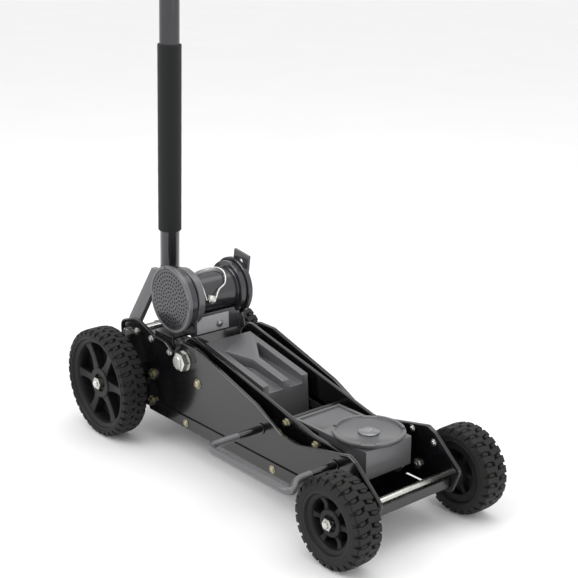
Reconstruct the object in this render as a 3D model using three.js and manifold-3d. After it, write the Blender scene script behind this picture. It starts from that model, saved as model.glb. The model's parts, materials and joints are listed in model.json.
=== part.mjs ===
// Long-wheelbase hydraulic floor jack with large off-road wheels, lowered, its handle upright.
// Millimetres. +X runs from the handle end to the saddle end, +Y to the jack's left, +Z up.
// Inside the jack group, X = 0 is the middle of the wheelbase, Y = 0 the centre plane, Z = 0 the floor.
import * as THREE from 'three';
import { mergeVertices } from 'three/addons/utils/BufferGeometryUtils.js';
import Module from 'manifold-3d';

const wasm = await Module();
wasm.setup();

// ---- Driving dimensions -------------------------------------------------------------------
const gap = 0.3; // between pieces that touch or run in each other

const wheelbase = 634;
const rearWheel = { radius: 101.5, width: 52.5, outerFace: 167, tyre: 14.5, axle: 10, hub: 28.5 };
const frontWheel = { radius: 73, width: 53, outerFace: 163.5, tyre: 22.5, axle: 8, hub: 22 };
const rimOf = (wheel) => wheel.radius - wheel.tyre;
const hubNut = { height: 10, acrossFlats: 22 };
const axleCollar = 6; // how far the welded collars stand out round each axle
const spokes = { count: 6, width: 8 };

const frameHalfWidth = 89.5; // over the lips of the side plates
const lipWidth = 4;
const lipThickness = 3.5;
const plateThickness = 4;
const frameBottom = 51;
const skid = { thickness: 2.5, flangeTop: 73, rear: 60, nose: 22, noseTop: 81 };

const armInner = 60.5; // inner faces of the two lift-arm plates
const armThickness = 7;
const armDepth = 46;
const armTop = { overPivot: 36.8, overHead: 10 }; // the arm's straight top edge, over its two pivots
const pivot = { behind: 175.5, z: 179, shaft: 12 }; // behind: forward of the rear axle
const headPivot = { ahead: 80, z: 118, pin: 9 }; // ahead: behind the front axle
const linkDrop = { x: 6, z: -33 }; // from each arm pivot to the levelling link's pivot
const link = { inner: 52, thickness: 5, halfDepth: 6.5, pin: 5 };
const crank = { radius: 62, sweep: 60, pin: 8 }; // pin under the lift pivot that the ram pushes
const pivotTubeWall = 3.7;
const liftNut = { radius: 15.5, reach: 14, washer: 18.5, washerReach: 3 }; // reach: out from the web
const armBar = { behind: 134, above: 20, radius: 5 }; // from the head pivot

const head = { length: 170, ahead: 46, halfWidth: 48.9, top: 143.5, wall: 5, frontDrop: 49,
  tray: 5.5, trayRim: 6, trayDepth: 2.5 };
const saddle = { radius: 58.8, top: 153, rim: 6, cup: 5, stem: 12, stemLength: 11, notch: 24, notchDepth: 2 };
const button = { radius: 17, height: 2.5, edge: 2 };

const cover = { behind: 13.5, length: 160, halfWidth: 49.5, rearTop: 207.3, slope: 0.214, wall: 3,
  bottom: 106, rake: 4 };
const trough = { tip: 38, straight: 80, inner: 7.5, outer: 36.5, tipWidth: 3, tipDepth: 21.5,
  frontDepth: 14 };

const handle = { radius: 18, wall: 2.5, top: 1215, lean: 2.73, gripFrom: 371, gripTo: 711, foam: 3.5 };
const endGrip = { length: 120, plug: 30, edge: 6 };
const yokePivot = { x: -6.9, z: 181.8, bolt: 6, head: 9.5, headReach: 7 }; // x: from the rear axle
const yoke = { tubeOffset: 12.3, socketFrom: 62, socketTo: 112, socketWall: 5, strapInner: 67,
  strapOuter: 75, strapWidth: 32, shaft: 8 };
const rearRod = { x: 26.3, z: 194.6, radius: 6 };

const base = { front: 95, length: 80, halfWidth: 42, bottom: 58, top: 144 }; // hydraulic block
const ram = { z: 121, rod: 12, nose: 15, bore: 15, tube: 18, gland: 26, glandLength: 8 };
const valve = { radius: 6, y: 27, z: 130 };
const pump = { radius: 9, plunger: 50, barrel: 44, rollerArm: 30, roller: 9, swing: 75 };

// The stored extension lies along Y: its places from and to, and its collars, are Y values.
const extension = { x: 128, z: 278, from: -82, to: 64, tube: 38, wall: 6, pad: 60.5, padDepth: 8,
  plate: 58, plateTo: -62, neck: 46, collar: 52, collarFrom: -55, collarTo: -41,
  farCollar: 48, farCollarLength: 12, flange: 53, flangeThickness: 10 };
const lug = { ahead: 20, above: 65, width: 42, length: 80, thickness: 4, tilt: 9, keyhole: 17.7, eye: 6,
  slot: 5, slotLength: 12 };
const block = { halfWidth: 50, front: 157, depth: 64, bottom: 209, top: 248 };
const blockPlate = { from: -46, to: 25, bottom: 212, top: 243, depth: 2, proud: 1.5 };
const bracket = { behind: 52, ahead: 5, thickness: 4, depth: 40 };
const lockPin = { radius: 6, head: 8, headLength: 12, length: 40, y: -24 };
const bail = { wire: 1.6, clear: 5 };

// reach: out from the front wheels' outer faces; rearArm: ahead of the wheelbase's middle; frontArm: behind
// the front axle; turnIn and socket: in from the front wheels' outer faces.
const sideHandle = { reach: 35, height: 122, rearArm: 72, frontArm: 65, bulge: 33, turnIn: 0.5,
  socket: 29, radius: 6.5, stub: 6, bend: 26 };

// ---- Derived places -----------------------------------------------------------------------
const rearX = -wheelbase / 2;
const frontX = wheelbase / 2;
const webOuter = frameHalfWidth - lipWidth;
const webInner = webOuter - plateThickness;
const P = { x: rearX + pivot.behind, z: pivot.z };
const H = { x: frontX - headPivot.ahead, z: headPivot.z };
const linkRear = { x: P.x + linkDrop.x, z: P.z + linkDrop.z };
const linkFront = { x: H.x + linkDrop.x, z: H.z + linkDrop.z };
const restAngle = THREE.MathUtils.degToRad(-crank.sweep / 2);
const C = { x: P.x + crank.radius * Math.sin(restAngle), z: P.z - crank.radius * Math.cos(restAngle) };
const Y0 = { x: rearX + yokePivot.x, z: yokePivot.z };
const E = { x: rearX + extension.x, z: extension.z };
const armOuter = armInner + armThickness;
const lean = THREE.MathUtils.degToRad(handle.lean);
const loopReach = frontWheel.outerFace + sideHandle.reach;
const loopRearX = sideHandle.rearArm;
const loopFrontX = frontX - sideHandle.frontArm;
const beyond = 200; // how far cutters and bores run past what they cut

// ---- Materials ----------------------------------------------------------------------------
const finish = (color, roughness, metalness) =>
  new THREE.MeshStandardMaterial({ color, roughness, metalness });
const gloss = finish(0x17171a, 0.25, 0.3);
const grey = finish(0x6e6e70, 0.4, 0.5);
const darkGrey = finish(0x46464a, 0.35, 0.5);
const zinc = finish(0xc9c9c6, 0.25, 0.9);
const steel = finish(0x8f9092, 0.35, 0.9);
const tyreRubber = finish(0x1d1d1c, 0.9, 0);
const moulded = finish(0x2b2a2c, 0.6, 0);
const foam = finish(0x232426, 0.95, 0);

// ---- Tools --------------------------------------------------------------------------------
// A closed three.js geometry as a manifold solid: only positions are kept, shared vertices are
// merged, and the slivers that a lathe leaves on its axis are dropped.
function solid(geometry) {
  const bare = geometry.clone();
  bare.deleteAttribute('normal');
  bare.deleteAttribute('uv');
  const merged = mergeVertices(bare, 1e-4);
  const index = merged.index.array;
  const kept = [];
  for (let i = 0; i < index.length; i += 3) {
    const [a, b, c] = [index[i], index[i + 1], index[i + 2]];
    if (a !== b && b !== c && c !== a) kept.push(a, b, c);
  }
  const vertProperties = new Float32Array(merged.attributes.position.array);
  return new wasm.Manifold(new wasm.Mesh({ numProp: 3, vertProperties, triVerts: new Uint32Array(kept) }));
}

function surface(manifold) {
  const mesh = manifold.getMesh();
  const geometry = new THREE.BufferGeometry();
  const places = new Float32Array(mesh.numVert * 3);
  for (let i = 0; i < mesh.numVert; i++) {
    for (let k = 0; k < 3; k++) places[3 * i + k] = mesh.vertProperties[mesh.numProp * i + k];
  }
  geometry.setAttribute('position', new THREE.BufferAttribute(places, 3));
  geometry.setIndex(new THREE.BufferAttribute(new Uint32Array(mesh.triVerts), 1));
  return geometry;
}

const join = (first, ...rest) => surface(rest.reduce((all, part) => all.add(solid(part)), solid(first)));
const cut = (first, ...rest) => surface(rest.reduce((all, part) => all.subtract(solid(part)), solid(first)));

// Round bars along each axis, centred on a place.
function rodY(radius, from, to, x = 0, z = 0, sides = 16) {
  return new THREE.CylinderGeometry(radius, radius, to - from, sides).translate(x, (from + to) / 2, z);
}
function rodX(radius, from, to, y = 0, z = 0, sides = 16) {
  const rod = new THREE.CylinderGeometry(radius, radius, to - from, sides).rotateZ(Math.PI / 2);
  return rod.translate((from + to) / 2, y, z);
}
function rodZ(radius, from, to, x = 0, y = 0, sides = 16) {
  const rod = new THREE.CylinderGeometry(radius, radius, to - from, sides).rotateX(Math.PI / 2);
  return rod.translate(x, y, (from + to) / 2);
}
function box(x0, x1, y0, y1, z0, z1) {
  return new THREE.BoxGeometry(x1 - x0, y1 - y0, z1 - z0)
    .translate((x0 + x1) / 2, (y0 + y1) / 2, (z0 + z1) / 2);
}

// An outline from corners [x, z, radius]: a corner with a radius is rounded with a circle's arc.
function outline(corners) {
  const shape = new THREE.Shape();
  corners.forEach(([x, z, radius = 0], i) => {
    const here = new THREE.Vector2(x, z);
    const [bx, bz] = corners[(i + corners.length - 1) % corners.length];
    const [ax, az] = corners[(i + 1) % corners.length];
    const back = new THREE.Vector2(bx, bz).sub(here).normalize();
    const ahead = new THREE.Vector2(ax, az).sub(here).normalize();
    const half = Math.acos(THREE.MathUtils.clamp(back.dot(ahead), -1, 1)) / 2;
    const move = i === 0 ? 'moveTo' : 'lineTo';
    if (radius === 0) {
      shape[move](x, z);
      return;
    }
    const run = radius / Math.tan(half);
    const start = here.clone().addScaledVector(back, run);
    const end = here.clone().addScaledVector(ahead, run);
    const middle = back.clone().add(ahead).normalize().multiplyScalar(radius / Math.sin(half)).add(here);
    shape[move](start.x, start.y);
    const turn = back.x * ahead.y - back.y * ahead.x;
    const a0 = Math.atan2(start.y - middle.y, start.x - middle.x);
    const a1 = Math.atan2(end.y - middle.y, end.x - middle.x);
    shape.absarc(middle.x, middle.y, radius, a0, a1, turn > 0);
  });
  shape.closePath();
  return shape;
}

// A plate whose outline lies in the XZ plane, between two Y values.
function plate(shape, yFrom, yTo, curveSegments = 2) {
  const slab = new THREE.ExtrudeGeometry(shape, { depth: yTo - yFrom, bevelEnabled: false, curveSegments });
  return slab.rotateX(Math.PI / 2).translate(0, yTo, 0);
}

// The same outline drawn in by a distance, for a lip that follows the edge of a plate.
function inset(shape, distance, curveSegments = 2) {
  const points = shape.getPoints(curveSegments);
  if (points[0].distanceTo(points.at(-1)) < 1e-6) points.pop();
  const side = THREE.ShapeUtils.isClockWise(points) ? -1 : 1;
  const moved = points.map((p, i) => {
    const before = points[(i + points.length - 1) % points.length];
    const after = points[(i + 1) % points.length];
    const u = p.clone().sub(before).normalize();
    const v = after.clone().sub(p).normalize();
    const across = new THREE.Vector2(-(u.y + v.y), u.x + v.x).normalize();
    const mitre = distance / Math.max(0.4, across.dot(new THREE.Vector2(-u.y, u.x)));
    return p.clone().addScaledVector(across, side * mitre);
  });
  return new THREE.Shape(moved);
}

// A turned piece from [radius, height] points, wound so that its faces point outwards.
function lathe(profile, turns = 24) {
  const points = profile.map(([r, y]) => new THREE.Vector2(r, y));
  if (THREE.ShapeUtils.area(points) < 0) points.reverse();
  return new THREE.LatheGeometry(points, turns);
}

// The same, turned about Z: its profile is [radius, z] points.
function standing(profile, turns = 24) {
  return lathe(profile, turns).rotateX(Math.PI / 2);
}

const jack = new THREE.Group();
jack.name = 'jack';

function piece(name, material, geometry, parent = jack) {
  const mesh = new THREE.Mesh(geometry, material);
  mesh.name = name;
  parent.add(mesh);
  return mesh;
}

const sides = [['right', -1], ['left', 1]];
const between = (a, b, side) => (side < 0 ? [-b, -a] : [a, b]);

// ---- Frame --------------------------------------------------------------------------------
function sidePlateOutline() {
  return outline([
    [rearX - 28, 80, 8],
    [rearX - 26, Y0.z + 22, 16],
    [rearX + 14, Y0.z + 35.5, 24],
    [rearX + 36, Y0.z + 35, 20],
    [rearX + 80, Y0.z + 20, 20],
    [rearX + 118, Y0.z + 17, 14],
    [P.x - 33, P.z + 6, 10],
    [P.x - 12, P.z + 33, 22],
    [P.x + 38, P.z + 32.5, 10],
    [frontX - 255, P.z - 17, 60],
    [frontX - 190, H.z + 13, 22],
    [frontX - 150, H.z + 9, 60],
    [frontX - 32, H.z + 34, 9],
    [frontX - 16, H.z + 27, 6],
    [frontX + 41, frontWheel.radius + 22, 9],
    [frontX + 24, frameBottom + 3, 14],
    [frontX - 12, frameBottom, 8],
    [rearX + 20, frameBottom, 12],
  ]);
}

function sidePlate(side) {
  const shape = sidePlateOutline();
  const [webFrom, webTo] = between(webInner, webOuter, side);
  const [lipFrom, lipTo] = between(webInner, frameHalfWidth, side);
  const around = plate(inset(shape, lipThickness), -beyond, beyond);
  const below = box(rearX - beyond, frontX + beyond, -beyond, beyond, 0, frontWheel.radius + 18);
  const lip = cut(plate(shape, lipFrom, lipTo), around, below);
  // The skid plate lies just under the side plates, so the webs stop above it.
  const floor = box(rearX - beyond, frontX + beyond, -beyond, beyond, 0, frameBottom + skid.thickness + gap);
  const hole = (radius, x, z) => rodY(radius + gap, -beyond, beyond, x, z);
  return cut(
    join(plate(shape, webFrom, webTo), lip),
    floor,
    hole(rearWheel.axle, rearX, rearWheel.radius),
    hole(frontWheel.axle, frontX, frontWheel.radius),
    hole(pivot.shaft, P.x, P.z),
    hole(yokePivot.bolt, Y0.x, Y0.z),
    hole(sideHandle.stub, loopRearX, sideHandle.height),
    hole(sideHandle.stub, loopFrontX, sideHandle.height),
  );
}

function skidPlate() {
  const outer = webOuter + gap + skid.thickness;
  const rear = rearX + skid.rear;
  const nose = frontX + skid.nose;
  const floor = outline([
    [rear, frameBottom],
    [frontX - 10, frameBottom, 6],
    [nose, frameBottom + 14],
    [nose, skid.noseTop],
    [nose - skid.thickness, skid.noseTop],
    [nose - skid.thickness, frameBottom + 15.5],
    [frontX - 11, frameBottom + skid.thickness, 5],
    [rear, frameBottom + skid.thickness],
  ]);
  const flangeEnd = frontX - frontWheel.radius - 4;
  const tray = box(rear, flangeEnd, -outer, outer, frameBottom, skid.flangeTop);
  const hollow = box(rear - beyond, frontX, -outer + skid.thickness, outer - skid.thickness,
    frameBottom + skid.thickness, skid.flangeTop + 1);
  return join(plate(floor, -webInner + 1, webInner - 1), cut(tray, hollow));
}

for (const [word, side] of sides) piece(`side_plate_${word}`, gloss, sidePlate(side));
piece('skid_plate', gloss, skidPlate());

// Each axle has a welded collar on both sides that holds the wheel off the frame.
function axle(wheel, x) {
  const end = wheel.outerFace - hubNut.height - gap;
  const collarTo = wheel.outerFace - wheel.width - gap;
  const collars = sides.map(([, side]) => between(webOuter + gap, collarTo, side));
  const rings = collars.map(([from, to]) => rodY(wheel.axle + axleCollar, from, to, x, wheel.radius));
  return join(rodY(wheel.axle, -end, end, x, wheel.radius), ...rings);
}
piece('rear_axle', steel, axle(rearWheel, rearX));
piece('front_axle', zinc, axle(frontWheel, frontX));

// ---- Wheels -------------------------------------------------------------------------------
function tyre(wheel) {
  const [r, w, rim] = [wheel.radius, wheel.width / 2, rimOf(wheel)];
  const half = [[rim, w - 5], [rim + 3, w - 1], [r - 11, w], [r - 2.5, w - 6], [r, w - 13]];
  const mirrored = half.map(([a, b]) => [a, -b]).reverse();
  return lathe([...mirrored.reverse(), ...half.reverse(), [rim, -(w - 5)]]);
}

function hub(wheel) {
  const outer = rimOf(wheel) - gap;
  const half = wheel.width / 2 - 6;
  const inner = outer - 7;
  const bore = wheel.axle + gap;
  const centreOut = wheel.width / 2 - hubNut.height - gap;
  const centreIn = -wheel.width / 2;
  const centre = lathe([[bore, centreIn], [wheel.hub, centreIn], [wheel.hub, centreOut], [bore, centreOut],
    [bore, centreIn]], 24);
  const ring = lathe([[inner, -half], [outer, -half], [outer, half], [inner, half], [inner, -half]]);
  const disc = lathe([[wheel.hub - 2, -8], [inner + 2, -8], [inner + 2, -3], [wheel.hub - 2, -3],
    [wheel.hub - 2, -8]], 24);
  const arms = Array.from({ length: spokes.count }, (_, i) => {
    const long = inner - wheel.hub + 5;
    const arm = new THREE.BoxGeometry(long, half + 3, spokes.width);
    return arm.translate(wheel.hub - 2 + long / 2, half / 2 - 6, 0).rotateY((i * 2 * Math.PI) / spokes.count);
  });
  return join(ring, centre, disc, ...arms);
}

// A wheel group is built with its outer face towards +Y and turned round for the right side.
function addWheel(place, word, side, wheel, x) {
  const group = new THREE.Group();
  group.position.set(x, side * (wheel.outerFace - wheel.width / 2), wheel.radius);
  if (side < 0) group.rotation.z = Math.PI;
  jack.add(group);
  piece(`${place}_tyre_${word}`, tyreRubber, tyre(wheel), group);
  piece(`${place}_hub_${word}`, moulded, hub(wheel), group);
  const nutRadius = hubNut.acrossFlats / 2 / Math.cos(Math.PI / 6);
  const nut = rodY(nutRadius, wheel.width / 2 - hubNut.height, wheel.width / 2, 0, 0, 6);
  piece(`${place}_hub_nut_${word}`, zinc, nut, group);
}
for (const [word, side] of sides) {
  addWheel('rear', word, side, rearWheel, rearX);
  addWheel('front', word, side, frontWheel, frontX);
}

// ---- Lift arm -----------------------------------------------------------------------------
function armOutline() {
  const armSlope = (P.z + armTop.overPivot - H.z - armTop.overHead) / (H.x - P.x);
  const topAt = (x) => P.z + armTop.overPivot - armSlope * (x - P.x);
  const lowerAt = (x) => topAt(x) - armDepth;
  return outline([
    [P.x - 27, P.z + 20, 16],
    [P.x - 8, topAt(P.x - 8), 22],
    [P.x + 28, topAt(P.x + 28), 20],
    [H.x - 60, topAt(H.x - 60), 30],
    [H.x + 19, H.z + 17, 15],
    [H.x + 18, H.z - 18, 15],
    [H.x - 20, H.z - 16, 20],
    [P.x + 150, lowerAt(P.x + 150), 60],
    [P.x + 40, lowerAt(P.x + 40), 30],
    [C.x + 24, C.z - 2, 10],
    [C.x + 9, C.z - 13, 9],
    [C.x - 15, C.z - 9, 11],
    [C.x - 12, C.z + 22, 14],
  ]);
}

for (const [word, side] of sides) {
  const [from, to] = between(armInner, armOuter, side);
  const blank = plate(armOutline(), from, to);
  const bored = cut(blank,
    rodY(pivot.shaft + gap, from - 5, to + 5, P.x, P.z),
    rodY(headPivot.pin + gap, from - 5, to + 5, H.x, H.z));
  piece(`arm_plate_${word}`, gloss, bored);
}
const armSpan = armInner - gap;
const pivotBore = pivot.shaft + gap;
const pivotTube = [[pivotBore, -armSpan], [pivotBore + pivotTubeWall, -armSpan],
  [pivotBore + pivotTubeWall, armSpan], [pivotBore, armSpan], [pivotBore, -armSpan]];
piece('arm_pivot_tube', gloss, lathe(pivotTube, 24).translate(P.x, 0, P.z));
piece('arm_crank_pin', steel, rodY(crank.pin, -armSpan, armSpan, C.x, C.z));
piece('arm_cross_bar', gloss,
  rodY(armBar.radius, -armSpan, armSpan, H.x - armBar.behind, H.z + armBar.above));

// The pivot shaft is clamped between the side plates and the arm turns on it.
piece('lift_pivot_shaft', steel, rodY(pivot.shaft, -webOuter + 0.5, webOuter - 0.5, P.x, P.z));
for (const [word, side] of sides) {
  const [from, to] = between(webOuter + gap, webOuter + liftNut.reach, side);
  const [washerFrom, washerTo] = between(webOuter + gap, webOuter + liftNut.washerReach, side);
  const nut = join(rodY(liftNut.radius, from, to, P.x, P.z, 6),
    rodY(liftNut.washer, washerFrom, washerTo, P.x, P.z));
  piece(`lift_pivot_nut_${word}`, zinc, nut);
}

// ---- Saddle head and levelling links ------------------------------------------------------
const headFront = H.x + head.ahead;
const headRear = headFront - head.length;

function saddleHead() {
  const bottom = head.top - head.frontDrop;
  const shape = outline([
    [headRear, head.top],
    [headFront, head.top, 2],
    [headFront, bottom, 2],
    [headFront - 6, bottom],
    [linkFront.x + 16, linkFront.z - 12, 4],
    [linkFront.x - 16, linkFront.z - 12, 6],
    [H.x - 50, head.top - 30, 10],
    [H.x - 66, head.top - head.tray],
    [headRear, head.top - head.tray],
  ]);
  const w = head.halfWidth;
  const tray = box(headRear + head.trayRim, H.x - saddle.radius - 2.2, -w + head.trayRim, w - head.trayRim,
    head.top - head.trayDepth, head.top + 1);
  const inside = box(H.x - 70, headFront - head.wall, -w + head.wall, w - head.wall, 0, head.top - 10);
  return cut(plate(shape, -w, w), tray, inside,
    rodY(headPivot.pin + gap, -beyond, beyond, H.x, H.z),
    rodY(link.pin + gap, -beyond, beyond, linkFront.x, linkFront.z),
    rodZ(saddle.stem + gap, headPivot.z, head.top + 5, H.x));
}
piece('saddle_head', grey, saddleHead());
piece('saddle_head_pin', steel, rodY(headPivot.pin, -armOuter + 1, armOuter - 1, H.x, H.z));

for (const [word, side] of sides) {
  const [pinFrom, pinTo] = between(head.halfWidth - head.wall + 1, link.inner + link.thickness + 2, side);
  piece(`link_pin_${word}`, steel, rodY(link.pin, pinFrom, pinTo, linkFront.x, linkFront.z, 16));
  const [from, to] = between(link.inner, link.inner + link.thickness, side);
  const d = link.halfDepth;
  const bar = join(
    plate(outline([[linkRear.x, linkRear.z + d], [linkFront.x, linkFront.z + d],
      [linkFront.x, linkFront.z - d], [linkRear.x, linkRear.z - d]]), from, to),
    rodY(d + 2, from, to, linkRear.x, linkRear.z),
    rodY(d + 2, from, to, linkFront.x, linkFront.z),
  );
  piece(`levelling_link_${word}`, darkGrey, cut(bar,
    rodY(link.pin + gap, from - 5, to + 5, linkRear.x, linkRear.z, 16),
    rodY(link.pin + gap, from - 5, to + 5, linkFront.x, linkFront.z, 16)));
}

// The saddle is a shallow cup with a notched rim, turning on a stem in the head.
const cupFloor = saddle.top - saddle.cup;
function saddleCup() {
  const under = head.top + gap;
  const cup = standing([[0, under - saddle.stemLength], [saddle.stem, under - saddle.stemLength],
    [saddle.stem, under], [saddle.radius - 3, under], [saddle.radius, under + 2],
    [saddle.radius, saddle.top - 1], [saddle.radius - 1, saddle.top],
    [saddle.radius - saddle.rim, saddle.top], [saddle.radius - saddle.rim, cupFloor], [0, cupFloor]]);
  const notches = [45, 135, 225, 315].map((degrees) =>
    box(saddle.radius - 2 * saddle.rim, saddle.radius + 5, -saddle.notch / 2, saddle.notch / 2,
      saddle.top - saddle.notchDepth, saddle.top + 5).rotateZ(THREE.MathUtils.degToRad(degrees)));
  return cut(cup, ...notches);
}
piece('saddle_cup', grey, saddleCup().translate(H.x, 0, 0));
const buttonFoot = cupFloor + gap;
const buttonProfile = [[0, buttonFoot], [button.radius, buttonFoot],
  [button.radius, buttonFoot + button.height - 1], [button.radius - button.edge, buttonFoot + button.height],
  [0, buttonFoot + button.height]];
piece('saddle_button', steel, standing(buttonProfile, 24).translate(H.x, 0, 0));

// ---- Hydraulic unit -----------------------------------------------------------------------
const baseFront = rearX + base.front;
const baseRear = baseFront - base.length;
const rollerAngle = THREE.MathUtils.degToRad(pump.swing / 2);
const pumpZ = Y0.z - pump.rollerArm * Math.cos(rollerAngle) - 1;
const rollerX = Y0.x - pump.rollerArm * Math.sin(rollerAngle);
const plungerRear = rollerX + pump.roller + 1;
const barrelRear = rollerX + 2 * (Y0.x - rollerX) + pump.roller + 10;
const cylinderRear = baseRear + 8 + gap;
const ramSides = 28; // the cylinder's facets and its bore's line up

function hydraulicBase() {
  const lugs = box(baseFront - 40, baseFront - 6, -webInner + gap, webInner - gap, 60, 136);
  const body = box(baseRear, baseFront, -base.halfWidth, base.halfWidth, base.bottom, base.top);
  const barrel = rodX(pump.radius + 6, barrelRear, barrelRear + pump.barrel, 0, pumpZ);
  const pumpBore = rodX(pump.radius + gap, barrelRear - 10, barrelRear + pump.barrel + 6, 0, pumpZ);
  const rearWell = box(baseRear - 5, barrelRear - 1, -beyond, beyond, pumpZ - 14, base.top + 1);
  const ramBore = rodX(ram.tube + gap, cylinderRear - gap, baseFront + 5, 0, ram.z, ramSides);
  const valveBore = rodX(valve.radius + gap, baseRear - 10, baseRear + 22, valve.y, valve.z);
  return cut(join(cut(body, rearWell), lugs, barrel), pumpBore, ramBore, valveBore);
}
piece('hydraulic_base', darkGrey, hydraulicBase());

// The ram's cylinder is screwed into the block, with a gland at its front.
const cylinderFront = C.x - 25;
const glandRear = cylinderFront - ram.glandLength;
const cylinderRing = [[ram.rod + gap, glandRear], [ram.rod + gap, cylinderFront], [ram.gland, cylinderFront],
  [ram.gland, baseFront + gap], [ram.tube, baseFront + gap], [ram.tube, cylinderRear],
  [ram.bore, cylinderRear], [ram.bore, glandRear], [ram.rod + gap, glandRear]];
piece('ram_cylinder', steel, lathe(cylinderRing, ramSides).rotateZ(-Math.PI / 2).translate(0, 0, ram.z));

function ramRod() {
  const nose = box(C.x - 19, C.x + 15, -ram.nose, ram.nose, ram.z - 18, ram.z + 18);
  const slot = box(C.x - crank.pin - 1, C.x + crank.pin + 1, -beyond, beyond, ram.z - 13.5, ram.z + 14);
  const pistonRear = cylinderRear + 4 - gap;
  const rod = rodX(ram.rod, pistonRear, C.x - 17, 0, ram.z);
  const piston = rodX(ram.bore - gap, pistonRear, pistonRear + 10, 0, ram.z);
  return cut(join(rod, piston, nose), slot);
}
piece('ram_rod', zinc, ramRod());

// Plates on the block's sides carry the rear pivots of the levelling links.
for (const [word, side] of sides) {
  const [from, to] = between(base.halfWidth + gap, base.halfWidth + 6, side);
  const [pinFrom, pinTo] = between(base.halfWidth + gap, link.inner + link.thickness + 2, side);
  const rail = plate(outline([
    [baseRear + 6, linkRear.z + 6, 4], [linkRear.x + 9, linkRear.z + 6, 5],
    [linkRear.x + 9, linkRear.z - 9, 6], [baseRear + 6, linkRear.z - 9, 4]]), from, to);
  const pin = rodY(link.pin, pinFrom, pinTo, linkRear.x, linkRear.z, 16);
  piece(`link_rail_${word}`, darkGrey, join(rail, pin));
}

piece('pump_plunger', zinc, join(
  rodX(pump.radius, plungerRear + 6, plungerRear + 6 + pump.plunger, 0, pumpZ),
  rodX(pump.radius + 2.5, plungerRear, plungerRear + 6, 0, pumpZ)));
piece('release_valve', zinc, join(
  rodX(valve.radius, baseRear - 10, baseRear + 20, valve.y, valve.z, 16),
  rodX(valve.radius + 3, baseRear - 16, baseRear - 4, valve.y, valve.z, 6)));

// ---- Power unit cover ---------------------------------------------------------------------
const coverRear = P.x + cover.behind;
const coverFront = coverRear + cover.length;
const coverTopAt = (x) => cover.rearTop - cover.slope * (x - coverRear);

// The cover's side view steps up at its rear to clear the arm's pivot tube.
function coverShell() {
  const stepLow = P.x + 49;
  const stepHigh = P.x + 29;
  return plate(outline([
    [coverRear, coverTopAt(coverRear)],
    [coverFront, coverTopAt(coverFront)],
    [coverFront + cover.rake, cover.bottom],
    [stepLow, cover.bottom],
    [stepLow, P.z - 29],
    [stepHigh, P.z - 14],
    [stepHigh, coverTopAt(stepHigh) - 8],
    [coverRear, coverTopAt(coverRear) - 5],
  ]), -cover.halfWidth, cover.halfWidth);
}

function coverHollow() {
  const below = cover.bottom - 5;
  return plate(outline([
    [P.x, coverTopAt(P.x) - cover.wall],
    [coverFront - cover.wall, coverTopAt(coverFront) - cover.wall],
    [coverFront + cover.rake - cover.wall, below],
    [P.x, below],
  ]), -cover.halfWidth + cover.wall, cover.halfWidth - cover.wall);
}

// Two tapered troughs run down the cover's top and open through its front face. A trough that is
// grown by the wall is the trough's lining.
function coverTrough(side, grow = 0) {
  const tip = coverRear + trough.tip;
  const end = coverFront + 20;
  const shape = new THREE.Shape([
    [tip, trough.outer], [tip, trough.outer - trough.tipWidth], [coverRear + trough.straight, trough.inner],
    [end, trough.inner], [end, trough.outer],
  ].map(([x, y]) => new THREE.Vector2(x, side * y)));
  const floorAtTip = coverTopAt(tip) - trough.tipDepth;
  const fall = (coverTopAt(coverFront) - trough.frontDepth - floorAtTip) / (coverFront - tip);
  const slab = new THREE.ExtrudeGeometry(inset(shape, -grow), { depth: 60, bevelEnabled: false });
  slab.applyMatrix4(new THREE.Matrix4().makeShear(0, fall, 0, 0, 0, 0));
  return slab.translate(0, 0, floorAtTip - fall * tip - grow);
}

const linings = sides.map(([, side]) => coverTrough(side, cover.wall));
const troughs = sides.map(([, side]) => coverTrough(side));
piece('power_unit_cover', grey, cut(coverShell(), cut(coverHollow(), ...linings), ...troughs));
const coverBar = { x: coverFront - 22, top: cover.bottom - gap };
piece('cover_cross_bar', gloss, box(coverBar.x, coverBar.x + 20, -webInner + gap, webInner - gap,
  coverBar.top - 4, coverBar.top));

// ---- Rear of the frame --------------------------------------------------------------------
piece('rear_cross_rod', zinc, rodY(rearRod.radius, -webInner + gap, webInner - gap,
  rearX + rearRod.x, rearRod.z, 20));

// ---- Handle -------------------------------------------------------------------------------
// The handle group's origin is on the yoke's pivot axis; its Z axis leans forward with the tube.
const handleGroup = new THREE.Group();
handleGroup.position.set(Y0.x, 0, Y0.z);
handleGroup.rotation.y = lean;
jack.add(handleGroup);
const { tubeOffset, socketFrom, socketTo } = yoke; // tubeOffset: the tube's axis, forward of the pivot
const tubeTop = (handle.top - Y0.z) / Math.cos(lean) - 2;

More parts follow.
